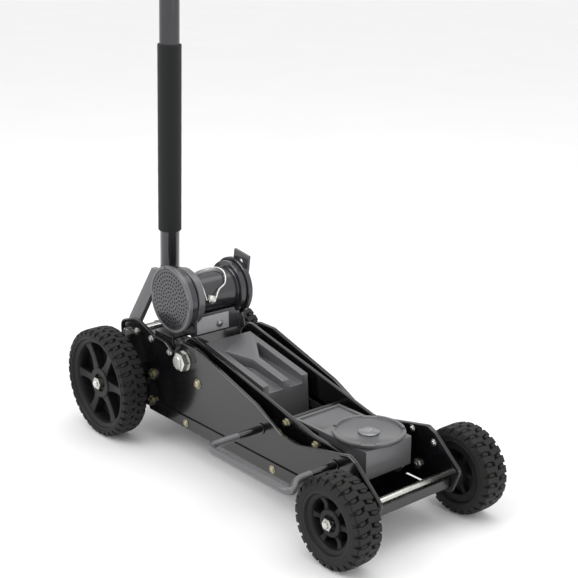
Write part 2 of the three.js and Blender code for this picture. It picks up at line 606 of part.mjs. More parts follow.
function handleYoke() {
  const { strapInner, strapOuter, strapWidth } = yoke;
  const socket = rodZ(handle.radius + yoke.socketWall, socketFrom, socketTo, tubeOffset, 0, 28);
  const straps = sides.map(([, side]) => {
    const shape = new THREE.Shape([
      new THREE.Vector2(side * strapInner, -10),
      new THREE.Vector2(side * strapOuter, -10),
      new THREE.Vector2(side * strapOuter, 24),
      new THREE.Vector2(side * 24, socketTo),
      new THREE.Vector2(side * 14, socketTo),
      new THREE.Vector2(side * strapInner, 20),
    ]);
    const slab = new THREE.ExtrudeGeometry(shape, { depth: strapWidth, bevelEnabled: false });
    return slab.rotateX(Math.PI / 2).rotateZ(Math.PI / 2).translate(2 - strapWidth / 2, 0, 0);
  });
  const angle = rollerAngle - lean;
  const rollerPlace = [-pump.rollerArm * Math.sin(angle), -pump.rollerArm * Math.cos(angle)];
  const shaft = rodY(yoke.shaft, -strapInner - 1, strapInner + 1, 0, 0, 20);
  const lugs = [[-20, -14], [14, 20]].map(([from, to]) => join(
    rodY(13, from, to, 0, 0, 20), rodY(pump.roller, from, to, ...rollerPlace, 20),
    plate(outline([[-12, 0], [12, 0], [rollerPlace[0] + 8, rollerPlace[1] - 2],
      [rollerPlace[0] - 8, rollerPlace[1] + 2]]), from, to)));
  const roller = rodY(pump.roller, -15, 15, ...rollerPlace, 20);
  const boltHole = rodY(yokePivot.bolt + gap, -beyond, beyond);
  const bore = rodZ(handle.radius + gap, socketFrom - 20, socketTo + 20, tubeOffset, 0, 28);
  return cut(join(socket, ...straps, shaft, ...lugs, roller), bore, boltHole);
}
piece('handle_yoke', grey, handleYoke(), handleGroup);

for (const [word, side] of sides) {
  const [from, to] = between(40, webOuter + gap, side);
  const [headFrom, headTo] = between(webOuter + gap, webOuter + yokePivot.headReach, side);
  const bolt = join(rodY(yokePivot.bolt, from, to, Y0.x, Y0.z),
    rodY(yokePivot.head, headFrom, headTo, Y0.x, Y0.z, 6));
  piece(`yoke_bolt_${word}`, zinc, bolt);
}

const bareTop = tubeTop - endGrip.length; // where the end grip starts
const tubeBore = handle.radius - handle.wall;
const tubeProfile = [[tubeBore, socketFrom + 2], [handle.radius, socketFrom + 2], [handle.radius, bareTop],
  [tubeBore, bareTop], [tubeBore, socketFrom + 2]];
piece('handle_tube', darkGrey, standing(tubeProfile, 28).translate(tubeOffset, 0, 0), handleGroup);
const along = (z) => (z - Y0.z) / Math.cos(lean);
const [foamIn, foamOut] = [handle.radius + gap, handle.radius + handle.foam];
const [foamFrom, foamTo] = [along(handle.gripFrom), along(handle.gripTo)];
const foamProfile = [[foamIn, foamFrom], [foamOut, foamFrom], [foamOut, foamTo], [foamIn, foamTo],
  [foamIn, foamFrom]];
piece('foam_sleeve', foam, standing(foamProfile, 28).translate(tubeOffset, 0, 0), handleGroup);
const plugEnd = bareTop - endGrip.plug;
const endGripProfile = [[0, plugEnd], [tubeBore - gap, plugEnd], [tubeBore - gap, bareTop + gap],
  [handle.radius, bareTop + gap], [handle.radius, tubeTop - endGrip.edge],
  [handle.radius - endGrip.edge, tubeTop], [0, tubeTop]];
piece('handle_end_grip', foam, standing(endGripProfile, 28).translate(tubeOffset, 0, 0), handleGroup);

// ---- Stored saddle extension --------------------------------------------------------------
// It lies crosswise on a post above the frame, its round pad towards the right side.
const bracketTop = block.bottom - gap;
const bracketRear = E.x - bracket.behind;
const bracketFront = E.x + bracket.ahead;
const bracketEnd = webInner - gap;
piece('storage_bracket', gloss, join(
  box(bracketRear, bracketFront, -bracketEnd, bracketEnd, bracketTop - bracket.thickness, bracketTop),
  ...sides.map(([, side]) => {
    const [from, to] = between(bracketEnd - bracket.thickness, bracketEnd, side);
    return box(bracketRear, bracketFront, from, to, bracketTop - bracket.depth, bracketTop - 1);
  })));

const blockFront = rearX + block.front;
const extensionFar = extension.to - extension.flangeThickness - gap;
const cradle = [
  rodY(extension.tube + gap, -beyond, beyond, E.x, E.z, 32),
  rodY(extension.collar + gap, -beyond, extension.collarTo + gap, E.x, E.z, 32),
  rodY(extension.farCollar + gap, extensionFar - extension.farCollarLength - gap, beyond, E.x, E.z, 32),
];
const plateFoot = blockFront - blockPlate.depth;
piece('storage_block', darkGrey, cut(
  box(blockFront - block.depth, blockFront, -block.halfWidth, block.halfWidth, block.bottom, block.top),
  ...cradle,
  box(plateFoot, blockFront + 1, blockPlate.from, blockPlate.to, blockPlate.bottom, blockPlate.top)));
piece('storage_block_plate', grey, cut(
  box(plateFoot + gap, blockFront + blockPlate.proud, blockPlate.from + gap, blockPlate.to - gap,
    blockPlate.bottom + gap, blockPlate.top - gap),
  ...cradle));

// An upright lug with a keyhole, leaning forward, welded behind the post's flange.
function keyholeLug() {
  const [from, to] = [extension.to - 1, extension.to + lug.thickness];
  const blank = box(-lug.width / 2, lug.width / 2, from, to, -lug.length, 0);
  const slot = box(-lug.slot / 2, lug.slot / 2, -beyond, beyond, -lug.keyhole - lug.slotLength, -lug.keyhole);
  const eye = rodY(lug.eye, -beyond, beyond, 0, -lug.keyhole);
  const tilted = cut(blank, slot, eye).rotateY(THREE.MathUtils.degToRad(lug.tilt));
  return tilted.translate(E.x + lug.ahead, 0, E.z + lug.above);
}

// The post that the extension is slid onto, with its flange and the foot it stands on.
function storagePost() {
  const far = [extensionFar + gap, extension.to];
  const post = rodY(extension.tube - extension.wall, extension.collarTo + 1, extension.to - 5, E.x, E.z, 32);
  const flange = rodY(extension.flange, ...far, E.x, E.z, 32);
  const foot = box(E.x - 24, E.x + 24, ...far, block.bottom, E.z);
  const pinBore = rodX(lockPin.radius + gap, E.x - 60, E.x + 60, lockPin.y, E.z);
  return cut(join(post, flange, keyholeLug(), foot), pinBore);
}
piece('storage_post', darkGrey, storagePost());

function extensionBody() {
  const near = extension.from + extension.padDepth;
  const farCollarFrom = extensionFar - extension.farCollarLength;
  const bore = extension.tube - extension.wall + gap;
  const profile = [[0, near], [extension.plate, near], [extension.plate, extension.plateTo],
    [extension.neck, extension.plateTo], [extension.neck, extension.collarFrom],
    [extension.collar, extension.collarFrom], [extension.collar, extension.collarTo],
    [extension.tube, extension.collarTo], [extension.tube, farCollarFrom],
    [extension.farCollar, farCollarFrom], [extension.farCollar, extensionFar],
    [bore, extensionFar], [bore, extension.collarTo], [0, extension.collarTo]];
  const pinBore = rodX(lockPin.radius + gap, 0, beyond, lockPin.y);
  return cut(lathe(profile, 32), pinBore).translate(E.x, 0, E.z);
}
piece('extension_body', darkGrey, extensionBody());

// The extension's own saddle plate: a rim in four arcs round a pad.
function extensionPlate() {
  const [near, r] = [extension.from, extension.pad];
  const back = near + extension.padDepth - gap;
  const profile = [[0, near + 3], [r - 6, near + 3], [r - 6, near], [r - 1, near], [r, near + 1], [r, back],
    [0, back]];
  const gaps = [35, 125, 215, 305].map((degrees) =>
    box(r - 12, r + 5, near - 5, near + 1.5, -9, 9).rotateY(THREE.MathUtils.degToRad(degrees)));
  return cut(lathe(profile, 32), ...gaps).translate(E.x, 0, E.z);
}
piece('extension_saddle', grey, extensionPlate());

const pinHeadX = E.x + extension.tube + 1;
piece('lock_pin', zinc, join(
  rodX(lockPin.radius, pinHeadX - lockPin.length - 2, pinHeadX + 1, lockPin.y, E.z),
  rodX(lockPin.head, pinHeadX + gap, pinHeadX + lockPin.headLength, lockPin.y, E.z, 20)));

// The pin's wire bail arches over the tube from one side of the pin's head to the other. Its places
// are [degrees forward of the tube's top, distance to the left of the pin].
function wireBail() {
  const arch = extension.tube + bail.clear;
  const over = [[72, 20], [60, 36], [40, 44], [21, 45], [5, 37], [3, 14], [14, -10], [36, -12.6],
    [62, -12.3]];
  const middle = over.map(([degrees, y]) => {
    const a = THREE.MathUtils.degToRad(degrees);
    return new THREE.Vector3(E.x + arch * Math.sin(a), lockPin.y + y, E.z + arch * Math.cos(a));
  });
  const aside = lockPin.head + bail.wire + gap;
  const [start, end] = [aside, -aside].map((y) => new THREE.Vector3(pinHeadX + 6, lockPin.y + y, E.z));
  const ring = new THREE.Shape();
  ring.absarc(0, 0, bail.wire, 0, Math.PI * 2);
  const extrudePath = new THREE.CatmullRomCurve3([start, ...middle, end]);
  return new THREE.ExtrudeGeometry(ring, { steps: 40, extrudePath, curveSegments: 3 });
}
piece('pin_bail', zinc, wireBail());

// ---- Side carrying handle -----------------------------------------------------------------
// The loop's front corner bulges forward past the front wheel's outer face, and its front arm turns
// in behind the wheel.
const socketEnd = -(frontWheel.outerFace - sideHandle.socket);
function sideHandleLoop() {
  const s = sideHandle;
  const at = (x, y) => new THREE.Vector3(x, y, s.height);
  const corners = [
    [at(loopRearX, -loopReach), s.bend],
    [at(loopFrontX + s.bulge, -loopReach), s.bend],
    [at(loopFrontX, s.turnIn - frontWheel.outerFace), 0.6 * s.bend],
  ];
  const last = at(loopFrontX, socketEnd);
  const path = new THREE.CurvePath();
  let from = at(loopRearX, socketEnd);
  corners.forEach(([corner, bend], i) => {
    const next = i + 1 < corners.length ? corners[i + 1][0] : last;
    const bendFrom = corner.clone().addScaledVector(from.clone().sub(corner).normalize(), bend);
    const bendTo = corner.clone().addScaledVector(next.clone().sub(corner).normalize(), bend);
    path.add(new THREE.LineCurve3(from, bendFrom));
    path.add(new THREE.QuadraticBezierCurve3(bendFrom, corner, bendTo));
    from = bendTo;
  });
  path.add(new THREE.LineCurve3(from, last));
  const ring = new THREE.Shape();
  ring.absarc(0, 0, s.radius, 0, Math.PI * 2);
  return new THREE.ExtrudeGeometry(ring, { steps: 56, extrudePath: path, curveSegments: 4 });
}
piece('side_handle', grey, sideHandleLoop());
for (const [word, x] of [['rear', loopRearX], ['front', loopFrontX]]) {
  const stub = join(
    rodY(sideHandle.stub, socketEnd + gap, -webInner + 2, x, sideHandle.height),
    rodY(sideHandle.stub + 4, -webInner + gap, -webInner + 6, x, sideHandle.height));
  piece(`side_handle_stub_${word}`, gloss, stub);
}

// The exported group stands on the floor with the middle of its outer box at the origin.
const rearmost = rearX - rearWheel.radius;
const foremost = frontX + frontWheel.radius;
const rightmost = -(loopReach + sideHandle.radius);
jack.position.set(-(rearmost + foremost) / 2, -(rightmost + rearWheel.outerFace) / 2, 0);

const floorJack = new THREE.Group();
floorJack.name = 'floor_jack';
floorJack.add(jack);
export default floorJack;
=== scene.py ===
"""Long-wheelbase hydraulic floor jack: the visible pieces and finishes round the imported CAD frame.

Sizes inside the builders are millimetres in the jack's own place: X = 0 at the middle of the wheelbase,
Y = 0 on the centre plane, Z = 0 on the floor.
"""
import json
import math

import bmesh
import bpy
from mathutils import Matrix, Vector


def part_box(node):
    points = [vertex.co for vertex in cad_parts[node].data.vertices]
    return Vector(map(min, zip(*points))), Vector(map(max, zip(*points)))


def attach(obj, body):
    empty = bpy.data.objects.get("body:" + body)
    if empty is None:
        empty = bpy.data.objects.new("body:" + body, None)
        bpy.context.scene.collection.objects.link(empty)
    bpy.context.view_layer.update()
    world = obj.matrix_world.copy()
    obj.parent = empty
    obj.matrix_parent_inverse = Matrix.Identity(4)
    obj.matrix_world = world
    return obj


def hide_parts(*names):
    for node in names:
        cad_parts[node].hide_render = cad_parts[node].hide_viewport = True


bl_info = {
    "name": "Hydraulic Floor Jack",
    "version": (1, 0, 0),
    "blender": (4, 5, 0),
    "location": "View3D > Sidebar > Floor Jack",
    "description": "Builds the pieces and finishes of a long-wheelbase floor jack round its CAD frame",
    "category": "Object",
}

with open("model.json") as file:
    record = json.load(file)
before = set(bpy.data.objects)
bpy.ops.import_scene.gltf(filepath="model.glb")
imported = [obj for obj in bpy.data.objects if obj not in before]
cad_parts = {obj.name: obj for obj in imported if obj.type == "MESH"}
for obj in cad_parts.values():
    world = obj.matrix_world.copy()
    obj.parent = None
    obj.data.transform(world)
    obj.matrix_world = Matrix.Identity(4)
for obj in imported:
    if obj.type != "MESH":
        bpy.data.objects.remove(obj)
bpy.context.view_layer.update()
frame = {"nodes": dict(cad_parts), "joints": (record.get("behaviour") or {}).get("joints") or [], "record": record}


def middle(node):
    """The middle of a CAD node's box, in metres."""
    low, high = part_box(node)
    return (low + high) / 2


ORIGIN = Vector((
    (middle("rear_axle").x + middle("front_axle").x) / 2, middle("rear_axle").y, 0.0))
MM = 0.001


def local(point):
    """A place in metres as millimetres in the jack's own place."""
    return (Vector(point) - ORIGIN) / MM


REAR = local(middle("rear_axle"))
FRONT = local(middle("front_axle"))
LIFT = local(middle("lift_pivot_shaft"))
HEAD = local(middle("saddle_head_pin"))
CRANK = local(middle("arm_crank_pin"))
YOKE = local(middle("yoke_bolt_right"))
STORED = local(middle("extension_saddle"))
JOINT = {j["name"]: j for j in frame["joints"]}
TWIST = Vector(JOINT["handle_twist"]["axis"]).normalized()
CLEARANCE = 0.3  # what the CAD leaves between pieces that don't touch, mm
WEB_OUTER = abs(local(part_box("lift_pivot_nut_right")[1]).y) - CLEARANCE


# ---- Sizes and colours that a user would change ---------------------------------------------
def size(name, description, default, low, high):
    """A size in millimetres."""
    return bpy.props.FloatProperty(
        name=name, description=description, default=default, min=low, max=high)


def colour(name, description, default):
    """A colour as sRGB hex."""
    return bpy.props.StringProperty(name=name, description=description, default=default)


class FloorJackSizes(bpy.types.PropertyGroup):
    lip: size("Lip", "How far the side plates' edges turn outwards, mm", 4.0, 2.0, 8.0)
    plate: size("Plate", "Thickness of the side plates, mm", 4.0, 2.0, 8.0)
    tread: size("Tread", "Depth of the tyres' tread blocks, mm", 6.5, 3.0, 9.0)
    pitch: size("Tread pitch", "Length of one tread pattern round the tyre, mm", 17.5, 10.0, 30.0)
    edge: size("Edge", "Rounding of the pressed and machined edges, mm", 1.1, 0.3, 2.0)
    dimple: size("Dimple", "Radius of the holes in the stored saddle pad, mm", 1.8, 0.5, 2.5)
    dimple_pitch: size("Dimple pitch", "Distance between rings of holes, mm", 7.0, 4.0, 12.0)
    spokes: bpy.props.IntProperty(
        name="Spokes", description="Spokes in each hub", default=6, min=3, max=12)


class FloorJackColours(bpy.types.PropertyGroup):
    black: colour("Black coat", "Gloss powder coat of the frame and arms", "#0e0d0f")
    grey: colour("Grey coat", "Metallic powder coat of the cover, tray and saddle", "#646466")
    # The storage block's plate is a paler copy of the grey coat: partly its own paler tone, partly painted light
    # that lifts a face which sits in shade.
    light_grey: colour("Pale grey coat with painted light", "Metallic powder coat of the storage block's plate, paler than the grey coat partly as painted light", "#a6a6a8")
    enamel: colour("Dark enamel", "Metallic enamel of the handle tube and the extension", "#3d3d40")
    zinc: colour("Zinc", "Bright zinc plate of the nuts and the front axle", "#cfcfca")
    passivate: colour("Yellow zinc", "Yellow-passivated screws", "#aea88e")
    steel: colour("Steel", "Oiled turned steel", "#a3a4a5")
    rubber: colour("Rubber", "Moulded tyre rubber", "#131312")
    nylon: colour("Nylon", "Glass-filled nylon of the hubs", "#141315")
    foam: colour("Foam", "Closed-cell foam of the grip", "#131415")
    floor: colour("Floor", "Studio floor", "#f4f4f4")


# ---- Materials ------------------------------------------------------------------------------
def linear(hex_text):
    """sRGB hex to the linear colour that shaders take."""
    channels = [int(hex_text[i:i + 2], 16) / 255 for i in (1, 3, 5)]
    return (*[c / 12.92 if c <= 0.04045 else ((c + 0.055) / 1.055) ** 2.4 for c in channels], 1.0)


def add(tree, kind, values=(), links=(), **settings):
    """Adds a node, sets its settings and input values, and links its inputs."""
    made = tree.nodes.new(kind)
    for name, value in settings.items():
        setattr(made, name, value)
    for key, value in dict(values).items():
        made.inputs[key].default_value = value
    for key, source in dict(links).items():
        tree.links.new(source, made.inputs[key])
    return made


def per_metre(millimetres):
    """The scale of a pattern whose grain is this many millimetres."""
    return 1000.0 / millimetres


def start_material(name):
    """A material with object coordinates and a plain Principled shader on its output."""
    material = bpy.data.materials.new(name)
    material.use_nodes = True
    tree = material.node_tree
    tree.nodes.clear()
    shader = add(tree, "ShaderNodeBsdfPrincipled")
    add(tree, "ShaderNodeOutputMaterial", links={"Surface": shader.outputs["BSDF"]})
    place = add(tree, "ShaderNodeTexCoord")
    return material, tree, shader, place.outputs["Object"]


def noise(tree, place, grain, detail=2.0, roughness=0.5):
    """The strength of a noise whose grain is this many millimetres."""
    return add(tree, "ShaderNodeTexNoise",
               {"Scale": per_metre(grain), "Detail": detail, "Roughness": roughness},
               {"Vector": place}).outputs["Fac"]


def ramp(tree, factor, stops):
    """A colour ramp between (position, linear colour) stops."""
    made = add(tree, "ShaderNodeValToRGB", links={"Fac": factor})
    while len(made.color_ramp.elements) < len(stops):
        made.color_ramp.elements.new(0.5)
    for element, (position, value) in zip(made.color_ramp.elements, stops):
        element.position = position
        element.color = value
    return made.outputs["Color"]


def shade(value, factor):
    """A colour made lighter or darker by a factor."""
    return (*[min(1.0, c * factor) for c in value[:3]], 1.0)


def span(tree, factor, low, high):
    """A factor from 0 to 1 carried to a range from low to high."""
    return add(tree, "ShaderNodeMapRange", {"To Min": low, "To Max": high},
               {"Value": factor}).outputs["Result"]


def relief(tree, shader, height, depth_mm, strength=1.0):
    """Bumps of this depth on the shader's surface."""
    bump = add(tree, "ShaderNodeBump", {"Strength": strength, "Distance": depth_mm * MM},
               {"Height": height})
    tree.links.new(bump.outputs["Normal"], shader.inputs["Normal"])


def gloss_powder_coat(colours):
    """Gloss black polyester powder coat, baked: faint orange peel of about 3 mm breaks up its reflections,
    and handling leaves slightly duller patches."""
    material, tree, shader, place = start_material("gloss_powder_coat")
    base = linear(colours.black)
    patches = noise(tree, place, 60, 3)
    tree.links.new(ramp(tree, patches, [(0.35, shade(base, 0.85)), (0.7, shade(base, 1.25))]),
                   shader.inputs["Base Color"])
    tree.links.new(span(tree, patches, 0.13, 0.24), shader.inputs["Roughness"])
    shader.inputs["Specular IOR Level"].default_value = 0.5
    shader.inputs["Coat Weight"].default_value = 0.3
    shader.inputs["Coat Roughness"].default_value = 0.08
    relief(tree, shader, noise(tree, place, 3.2, 1), 0.012)
    return material


def metallic_powder_coat(name, hex_text):
    """Grey metallic powder coat: aluminium flakes drawn at 0.8 mm give it a fine sparkle under a
    satin clear layer, with orange peel of about 2.5 mm."""
    material, tree, shader, place = start_material(name)
    base = linear(hex_text)
    flakes = add(tree, "ShaderNodeTexVoronoi", {"Scale": per_metre(0.8)}, {"Vector": place})
    tree.links.new(ramp(tree, flakes.outputs["Distance"],
                        [(0.0, shade(base, 1.22)), (0.45, base), (1.0, shade(base, 0.86))]),
                   shader.inputs["Base Color"])
    shader.inputs["Metallic"].default_value = 0.45
    tree.links.new(span(tree, noise(tree, place, 45, 3), 0.3, 0.42), shader.inputs["Roughness"])
    shader.inputs["Coat Weight"].default_value = 0.3
    shader.inputs["Coat Roughness"].default_value = 0.18
    relief(tree, shader, noise(tree, place, 2.5, 1), 0.012)
    return material


def dark_enamel(colours):
    """Dark grey metallic enamel, sprayed over tube: smooth and glossy, with soft changes of tone."""
    material, tree, shader, place = start_material("dark_metallic_enamel")
    base = linear(colours.enamel)
    flakes = add(tree, "ShaderNodeTexVoronoi", {"Scale": per_metre(0.7)}, {"Vector": place})
    tree.links.new(ramp(tree, flakes.outputs["Distance"],
                        [(0.0, shade(base, 1.25)), (0.5, base), (1.0, shade(base, 0.85))]),
                   shader.inputs["Base Color"])
    shader.inputs["Metallic"].default_value = 0.6
    tree.links.new(span(tree, noise(tree, place, 50, 3), 0.2, 0.3), shader.inputs["Roughness"])
    shader.inputs["Coat Weight"].default_value = 0.5
    shader.inputs["Coat Roughness"].default_value = 0.06
    relief(tree, shader, noise(tree, place, 3.0, 1), 0.008)
    return material


def zinc_plate(name, hex_text, rough):
    """Zinc plate on turned or headed steel: a bright, slightly cloudy metal with fine tool marks."""
    material, tree, shader, place = start_material(name)
    base = linear(hex_text)
    clouds = noise(tree, place, 9, 3)
    tree.links.new(ramp(tree, clouds, [(0.3, shade(base, 0.82)), (0.6, base), (0.8, shade(base, 1.1))]),
                   shader.inputs["Base Color"])
    shader.inputs["Metallic"].default_value = 1.0
    tree.links.new(span(tree, clouds, rough, rough + 0.14), shader.inputs["Roughness"])
    relief(tree, shader, noise(tree, place, 1.2, 2), 0.01)
    return material


def oiled_steel(colours):
    """Turned steel under a film of oil: darker than plate, with turning marks about 0.6 mm apart."""
    material, tree, shader, place = start_material("oiled_turned_steel")
    base = linear(colours.steel)
    film = noise(tree, place, 14, 3)
    tree.links.new(ramp(tree, film, [(0.3, shade(base, 0.6)), (0.7, base)]), shader.inputs["Base Color"])
    shader.inputs["Metallic"].default_value = 1.0
    tree.links.new(span(tree, film, 0.24, 0.42), shader.inputs["Roughness"])
    relief(tree, shader, noise(tree, place, 0.6, 1), 0.01)
    return material


def tyre_rubber(colours):
    """Moulded black rubber: matt, with a dusty bloom in patches and a fine pebble of about 1 mm."""
    material, tree, shader, place = start_material("moulded_tyre_rubber")
    base = linear(colours.rubber)
    bloom = noise(tree, place, 28, 4, 0.6)
    tree.links.new(ramp(tree, bloom, [(0.3, shade(base, 0.75)), (0.55, base), (0.8, shade(base, 1.7))]),
                   shader.inputs["Base Color"])
    tree.links.new(span(tree, bloom, 0.55, 0.8), shader.inputs["Roughness"])
    shader.inputs["Specular IOR Level"].default_value = 0.4
    relief(tree, shader, noise(tree, place, 1.1, 2), 0.05)
    return material


def glass_filled_nylon(colours):
    """Injection-moulded nylon with glass fibre: dark charcoal, satin, with flow marks and a spark-eroded
    grain of about 0.9 mm."""
    material, tree, shader, place = start_material("glass_filled_nylon")
    base = linear(colours.nylon)
    flow = noise(tree, place, 35, 3)
    tree.links.new(ramp(tree, flow, [(0.3, shade(base, 0.85)), (0.75, shade(base, 1.25))]),
                   shader.inputs["Base Color"])
    tree.links.new(span(tree, flow, 0.42, 0.58), shader.inputs["Roughness"])
    shader.inputs["Specular IOR Level"].default_value = 0.3
    relief(tree, shader, noise(tree, place, 0.9, 1), 0.03)
    return material


def closed_cell_foam(colours):
    """Closed-cell foam sleeve: dead matt charcoal with cells drawn at 1.4 mm and a soft sheen."""
    material, tree, shader, place = start_material("closed_cell_foam")
    base = linear(colours.foam)
    cells = add(tree, "ShaderNodeTexVoronoi", {"Scale": per_metre(1.4)}, {"Vector": place})
    tree.links.new(ramp(tree, cells.outputs["Distance"], [(0.0, shade(base, 1.3)), (0.8, shade(base, 0.75))]),
                   shader.inputs["Base Color"])
    shader.inputs["Roughness"].default_value = 0.95
    shader.inputs["Sheen Weight"].default_value = 0.1
    shader.inputs["Sheen Roughness"].default_value = 0.5
    relief(tree, shader, cells.outputs["Distance"], 0.15, 0.6)
    return material


def studio_paint(colours):
    """Matt white studio floor paint: nearly even, so that only soft contact shadows show on it."""
    material, tree, shader, place = start_material("studio_floor_paint")
    base = linear(colours.floor)
    tree.links.new(ramp(tree, noise(tree, place, 400, 2), [(0.3, shade(base, 0.985)), (0.7, base)]),
                   shader.inputs["Base Color"])
    shader.inputs["Roughness"].default_value = 0.85
    return material


FINISH = {}


def make_finishes(colours):
    """Makes the material of each of the record's slots, and of the finishes that have no slot."""
    FINISH.update(
        gloss_black=gloss_powder_coat(colours),
        metallic_grey=metallic_powder_coat("metallic_powder_coat", colours.grey),
        # A paler copy of the grey coat for the block's plate, partly painted light.
        light_grey=metallic_powder_coat("pale_metallic_powder_coat_with_painted_light", colours.light_grey),
        dark_grey=dark_enamel(colours),
        zinc=zinc_plate("bright_zinc_plate", colours.zinc, 0.2),
        passivate=zinc_plate("yellow_passivated_zinc", colours.passivate, 0.24),
        steel=oiled_steel(colours),
        tyre=tyre_rubber(colours),
        composite=glass_filled_nylon(colours),
        foam=closed_cell_foam(colours),
    )


# ---- Shapes: (corners, faces) in millimetres ------------------------------------------------
def rounded(corners, step=6.0):
    """An outline from [x, z, radius] corners, each radius an arc with a point about every step mm."""
    points = []
    for i, (x, z, *more) in enumerate(corners):
        radius = more[0] if more else 0
        here = Vector((x, z))
        back = (Vector(corners[i - 1][:2]) - here).normalized()
        ahead = (Vector(corners[(i + 1) % len(corners)][:2]) - here).normalized()
        if radius == 0:
            points.append(here)
            continue
        half = math.acos(max(-1.0, min(1.0, back.dot(ahead)))) / 2
        start = here + back * (radius / math.tan(half))
        centre = here + (back + ahead).normalized() * (radius / math.sin(half))
        sweep = math.pi - 2 * half
        turn = -1 if back.x * ahead.y - back.y * ahead.x > 0 else 1
        count = max(3, round(radius * sweep / step) + 1)
        spoke = start - centre
        for k in range(count + 1):
            a = turn * sweep * k / count
            points.append(centre + Vector((
                spoke.x * math.cos(a) - spoke.y * math.sin(a),
                spoke.x * math.sin(a) + spoke.y * math.cos(a))))
    return points


def anticlockwise(points):
    """An outline turned to run anticlockwise."""
    area = sum(a.x * b.y - b.x * a.y for a, b in zip(points, points[1:] + points[:1]))
    return points if area > 0 else points[::-1]


def inward_ways(points):
    """For each corner of an anticlockwise outline, the mitred way inwards per millimetre of inset."""
    ways = []
    for i, p in enumerate(points):
        u = (p - points[i - 1]).normalized()
        v = (points[(i + 1) % len(points)] - p).normalized()
        n = Vector((-(u.y + v.y), u.x + v.x)).normalized()
        ways.append(n / max(0.5, n.dot(Vector((-u.y, u.x)))))
    return ways


def skinned(rows):
    """A closed shape through rows of corners: walls from each row to the next, and a face on each end."""
    n, last = len(rows[0]), len(rows) - 1
    faces = [(i * n + k, i * n + (k + 1) % n, (i + 1) * n + (k + 1) % n, (i + 1) * n + k)
             for i in range(last) for k in range(n)]
    faces += [tuple(reversed(range(n))), tuple(range(last * n, (last + 1) * n))]
    return [Vector(corner) for row in rows for corner in row], faces


def edged_plate(outline, section_at):
    """A plate in the local XY plane whose edge follows a section of (inset, height) points.
    section_at gives the section for a place on the outline; its first and last points bound the faces."""
    outline = anticlockwise(outline)
    edge = list(zip(outline, inward_ways(outline), [section_at(p) for p in outline]))
    return skinned([[(p.x + way.x * section[row][0], p.y + way.y * section[row][0], section[row][1])
                     for p, way, section in edge] for row in range(len(edge[0][2]))])


def bar_section(thickness, edge):
    """The section of a flat plate with rounded edges."""
    e = edge
    return [(2 * e + 0.5, 0), (e, 0), (0.3 * e, 0.3 * e), (0, e), (0, thickness - e),
            (0.3 * e, thickness - 0.3 * e), (e, thickness), (2 * e + 0.5, thickness)]


def turned(profile, segments=96):
    """A piece turned about local Z from a closed loop of (radius, height) points, or from a line of them
    between two poles."""
    pole = 1e-6
    corners, rings = [], []
    for radius, height in profile:
        if radius < pole:
            rings.append([len(corners)] * segments)
            corners.append(Vector((0, 0, height)))
        else:
            rings.append(list(range(len(corners), len(corners) + segments)))
            corners.extend(Vector((radius * math.cos(2 * math.pi * k / segments),
                                   radius * math.sin(2 * math.pi * k / segments), height))
                           for k in range(segments))
    faces = []
    poles = profile[0][0] < pole and profile[-1][0] < pole
    pairs = list(zip(rings, rings[1:])) + ([] if poles else [(rings[-1], rings[0])])
    for low, high in pairs:
        for k in range(segments):
            n = (k + 1) % segments
            loop = []
            for index in (low[k], low[n], high[n], high[k]):
                if index not in loop:
                    loop.append(index)
            if len(loop) > 2:
                faces.append(tuple(loop))
    return corners, faces


def swept(path, radius, sides=16):
    """A round bar along a path of places, closed at both ends."""
    path = [Vector(p) for p in path]
    rows, side = [], None
    for i, p in enumerate(path):
        ahead = (path[min(i + 1, len(path) - 1)] - path[max(i - 1, 0)]).normalized()
        if side is None:
            side = ahead.orthogonal().normalized()
        side = (side - ahead * side.dot(ahead)).normalized()
        up = ahead.cross(side)
        rows.append([p + side * (radius * math.cos(a)) + up * (radius * math.sin(a))
                     for a in (2 * math.pi * k / sides for k in range(sides))])
    return skinned(rows)


def arc_of(section, degrees, steps, turn=0.0):
    """A section of (radius, height) points carried round part of a circle about local Z."""
    sweep = math.radians(degrees)
    angles = [sweep * (k / steps - 0.5) + turn for k in range(steps + 1)]
    return skinned([[(r * math.cos(a), r * math.sin(a), z) for r, z in section] for a in angles])


def moved(shape, matrix):
    """A shape moved by a matrix."""
    return [matrix @ c for c in shape[0]], shape[1]


def together(*shapes):
    """Several shapes as one."""
    corners, faces = [], []
    for more_corners, more_faces in shapes:
        base = len(corners)
        corners += more_corners
        faces += [tuple(base + i for i in f) for f in more_faces]
    return corners, faces


def shift(x=0.0, y=0.0, z=0.0):
    return Matrix.Translation((x, y, z))


TO_Y = Matrix.Rotation(-math.pi / 2, 4, "X")  # local Z becomes +Y
TO_X = Matrix.Rotation(math.pi / 2, 4, "Y")  # local Z becomes +X
# A drawing in local XY stands up in the XZ plane, and its thickness runs towards +Y.
UPRIGHT = Matrix(((1, 0, 0, 0), (0, 0, 1, 0), (0, 1, 0, 0), (0, 0, 0, 1)))


def chamfered(radius, low, high, edge, bore=0.0):
    """The turned profile of a bar or tube between two heights."""
    inner = [(bore, low), (bore, high)] if bore else [(0, low), (0, high)]
    outer = [(radius - edge, low), (radius - edge * 0.3, low + edge * 0.3), (radius, low + edge),
             (radius, high - edge), (radius - edge * 0.3, high - edge * 0.3), (radius - edge, high)]
    return [inner[0], *outer, inner[1]]


def hexagon(across, low, high, chamfer=1.0):
    """A hexagon nut or bolt head with its corners turned off."""
    r = across / 2 / math.cos(math.pi / 6)
    points = [Vector((r * math.cos(k * math.pi / 3), r * math.sin(k * math.pi / 3))) for k in range(6)]
    tall = high - low
    plate = edged_plate(points, lambda p: [
        (across * 0.12, 0), (0, 0.2), (0, tall - chamfer), (across * 0.09, tall), (across * 0.14, tall)])
    return moved(plate, shift(z=low))


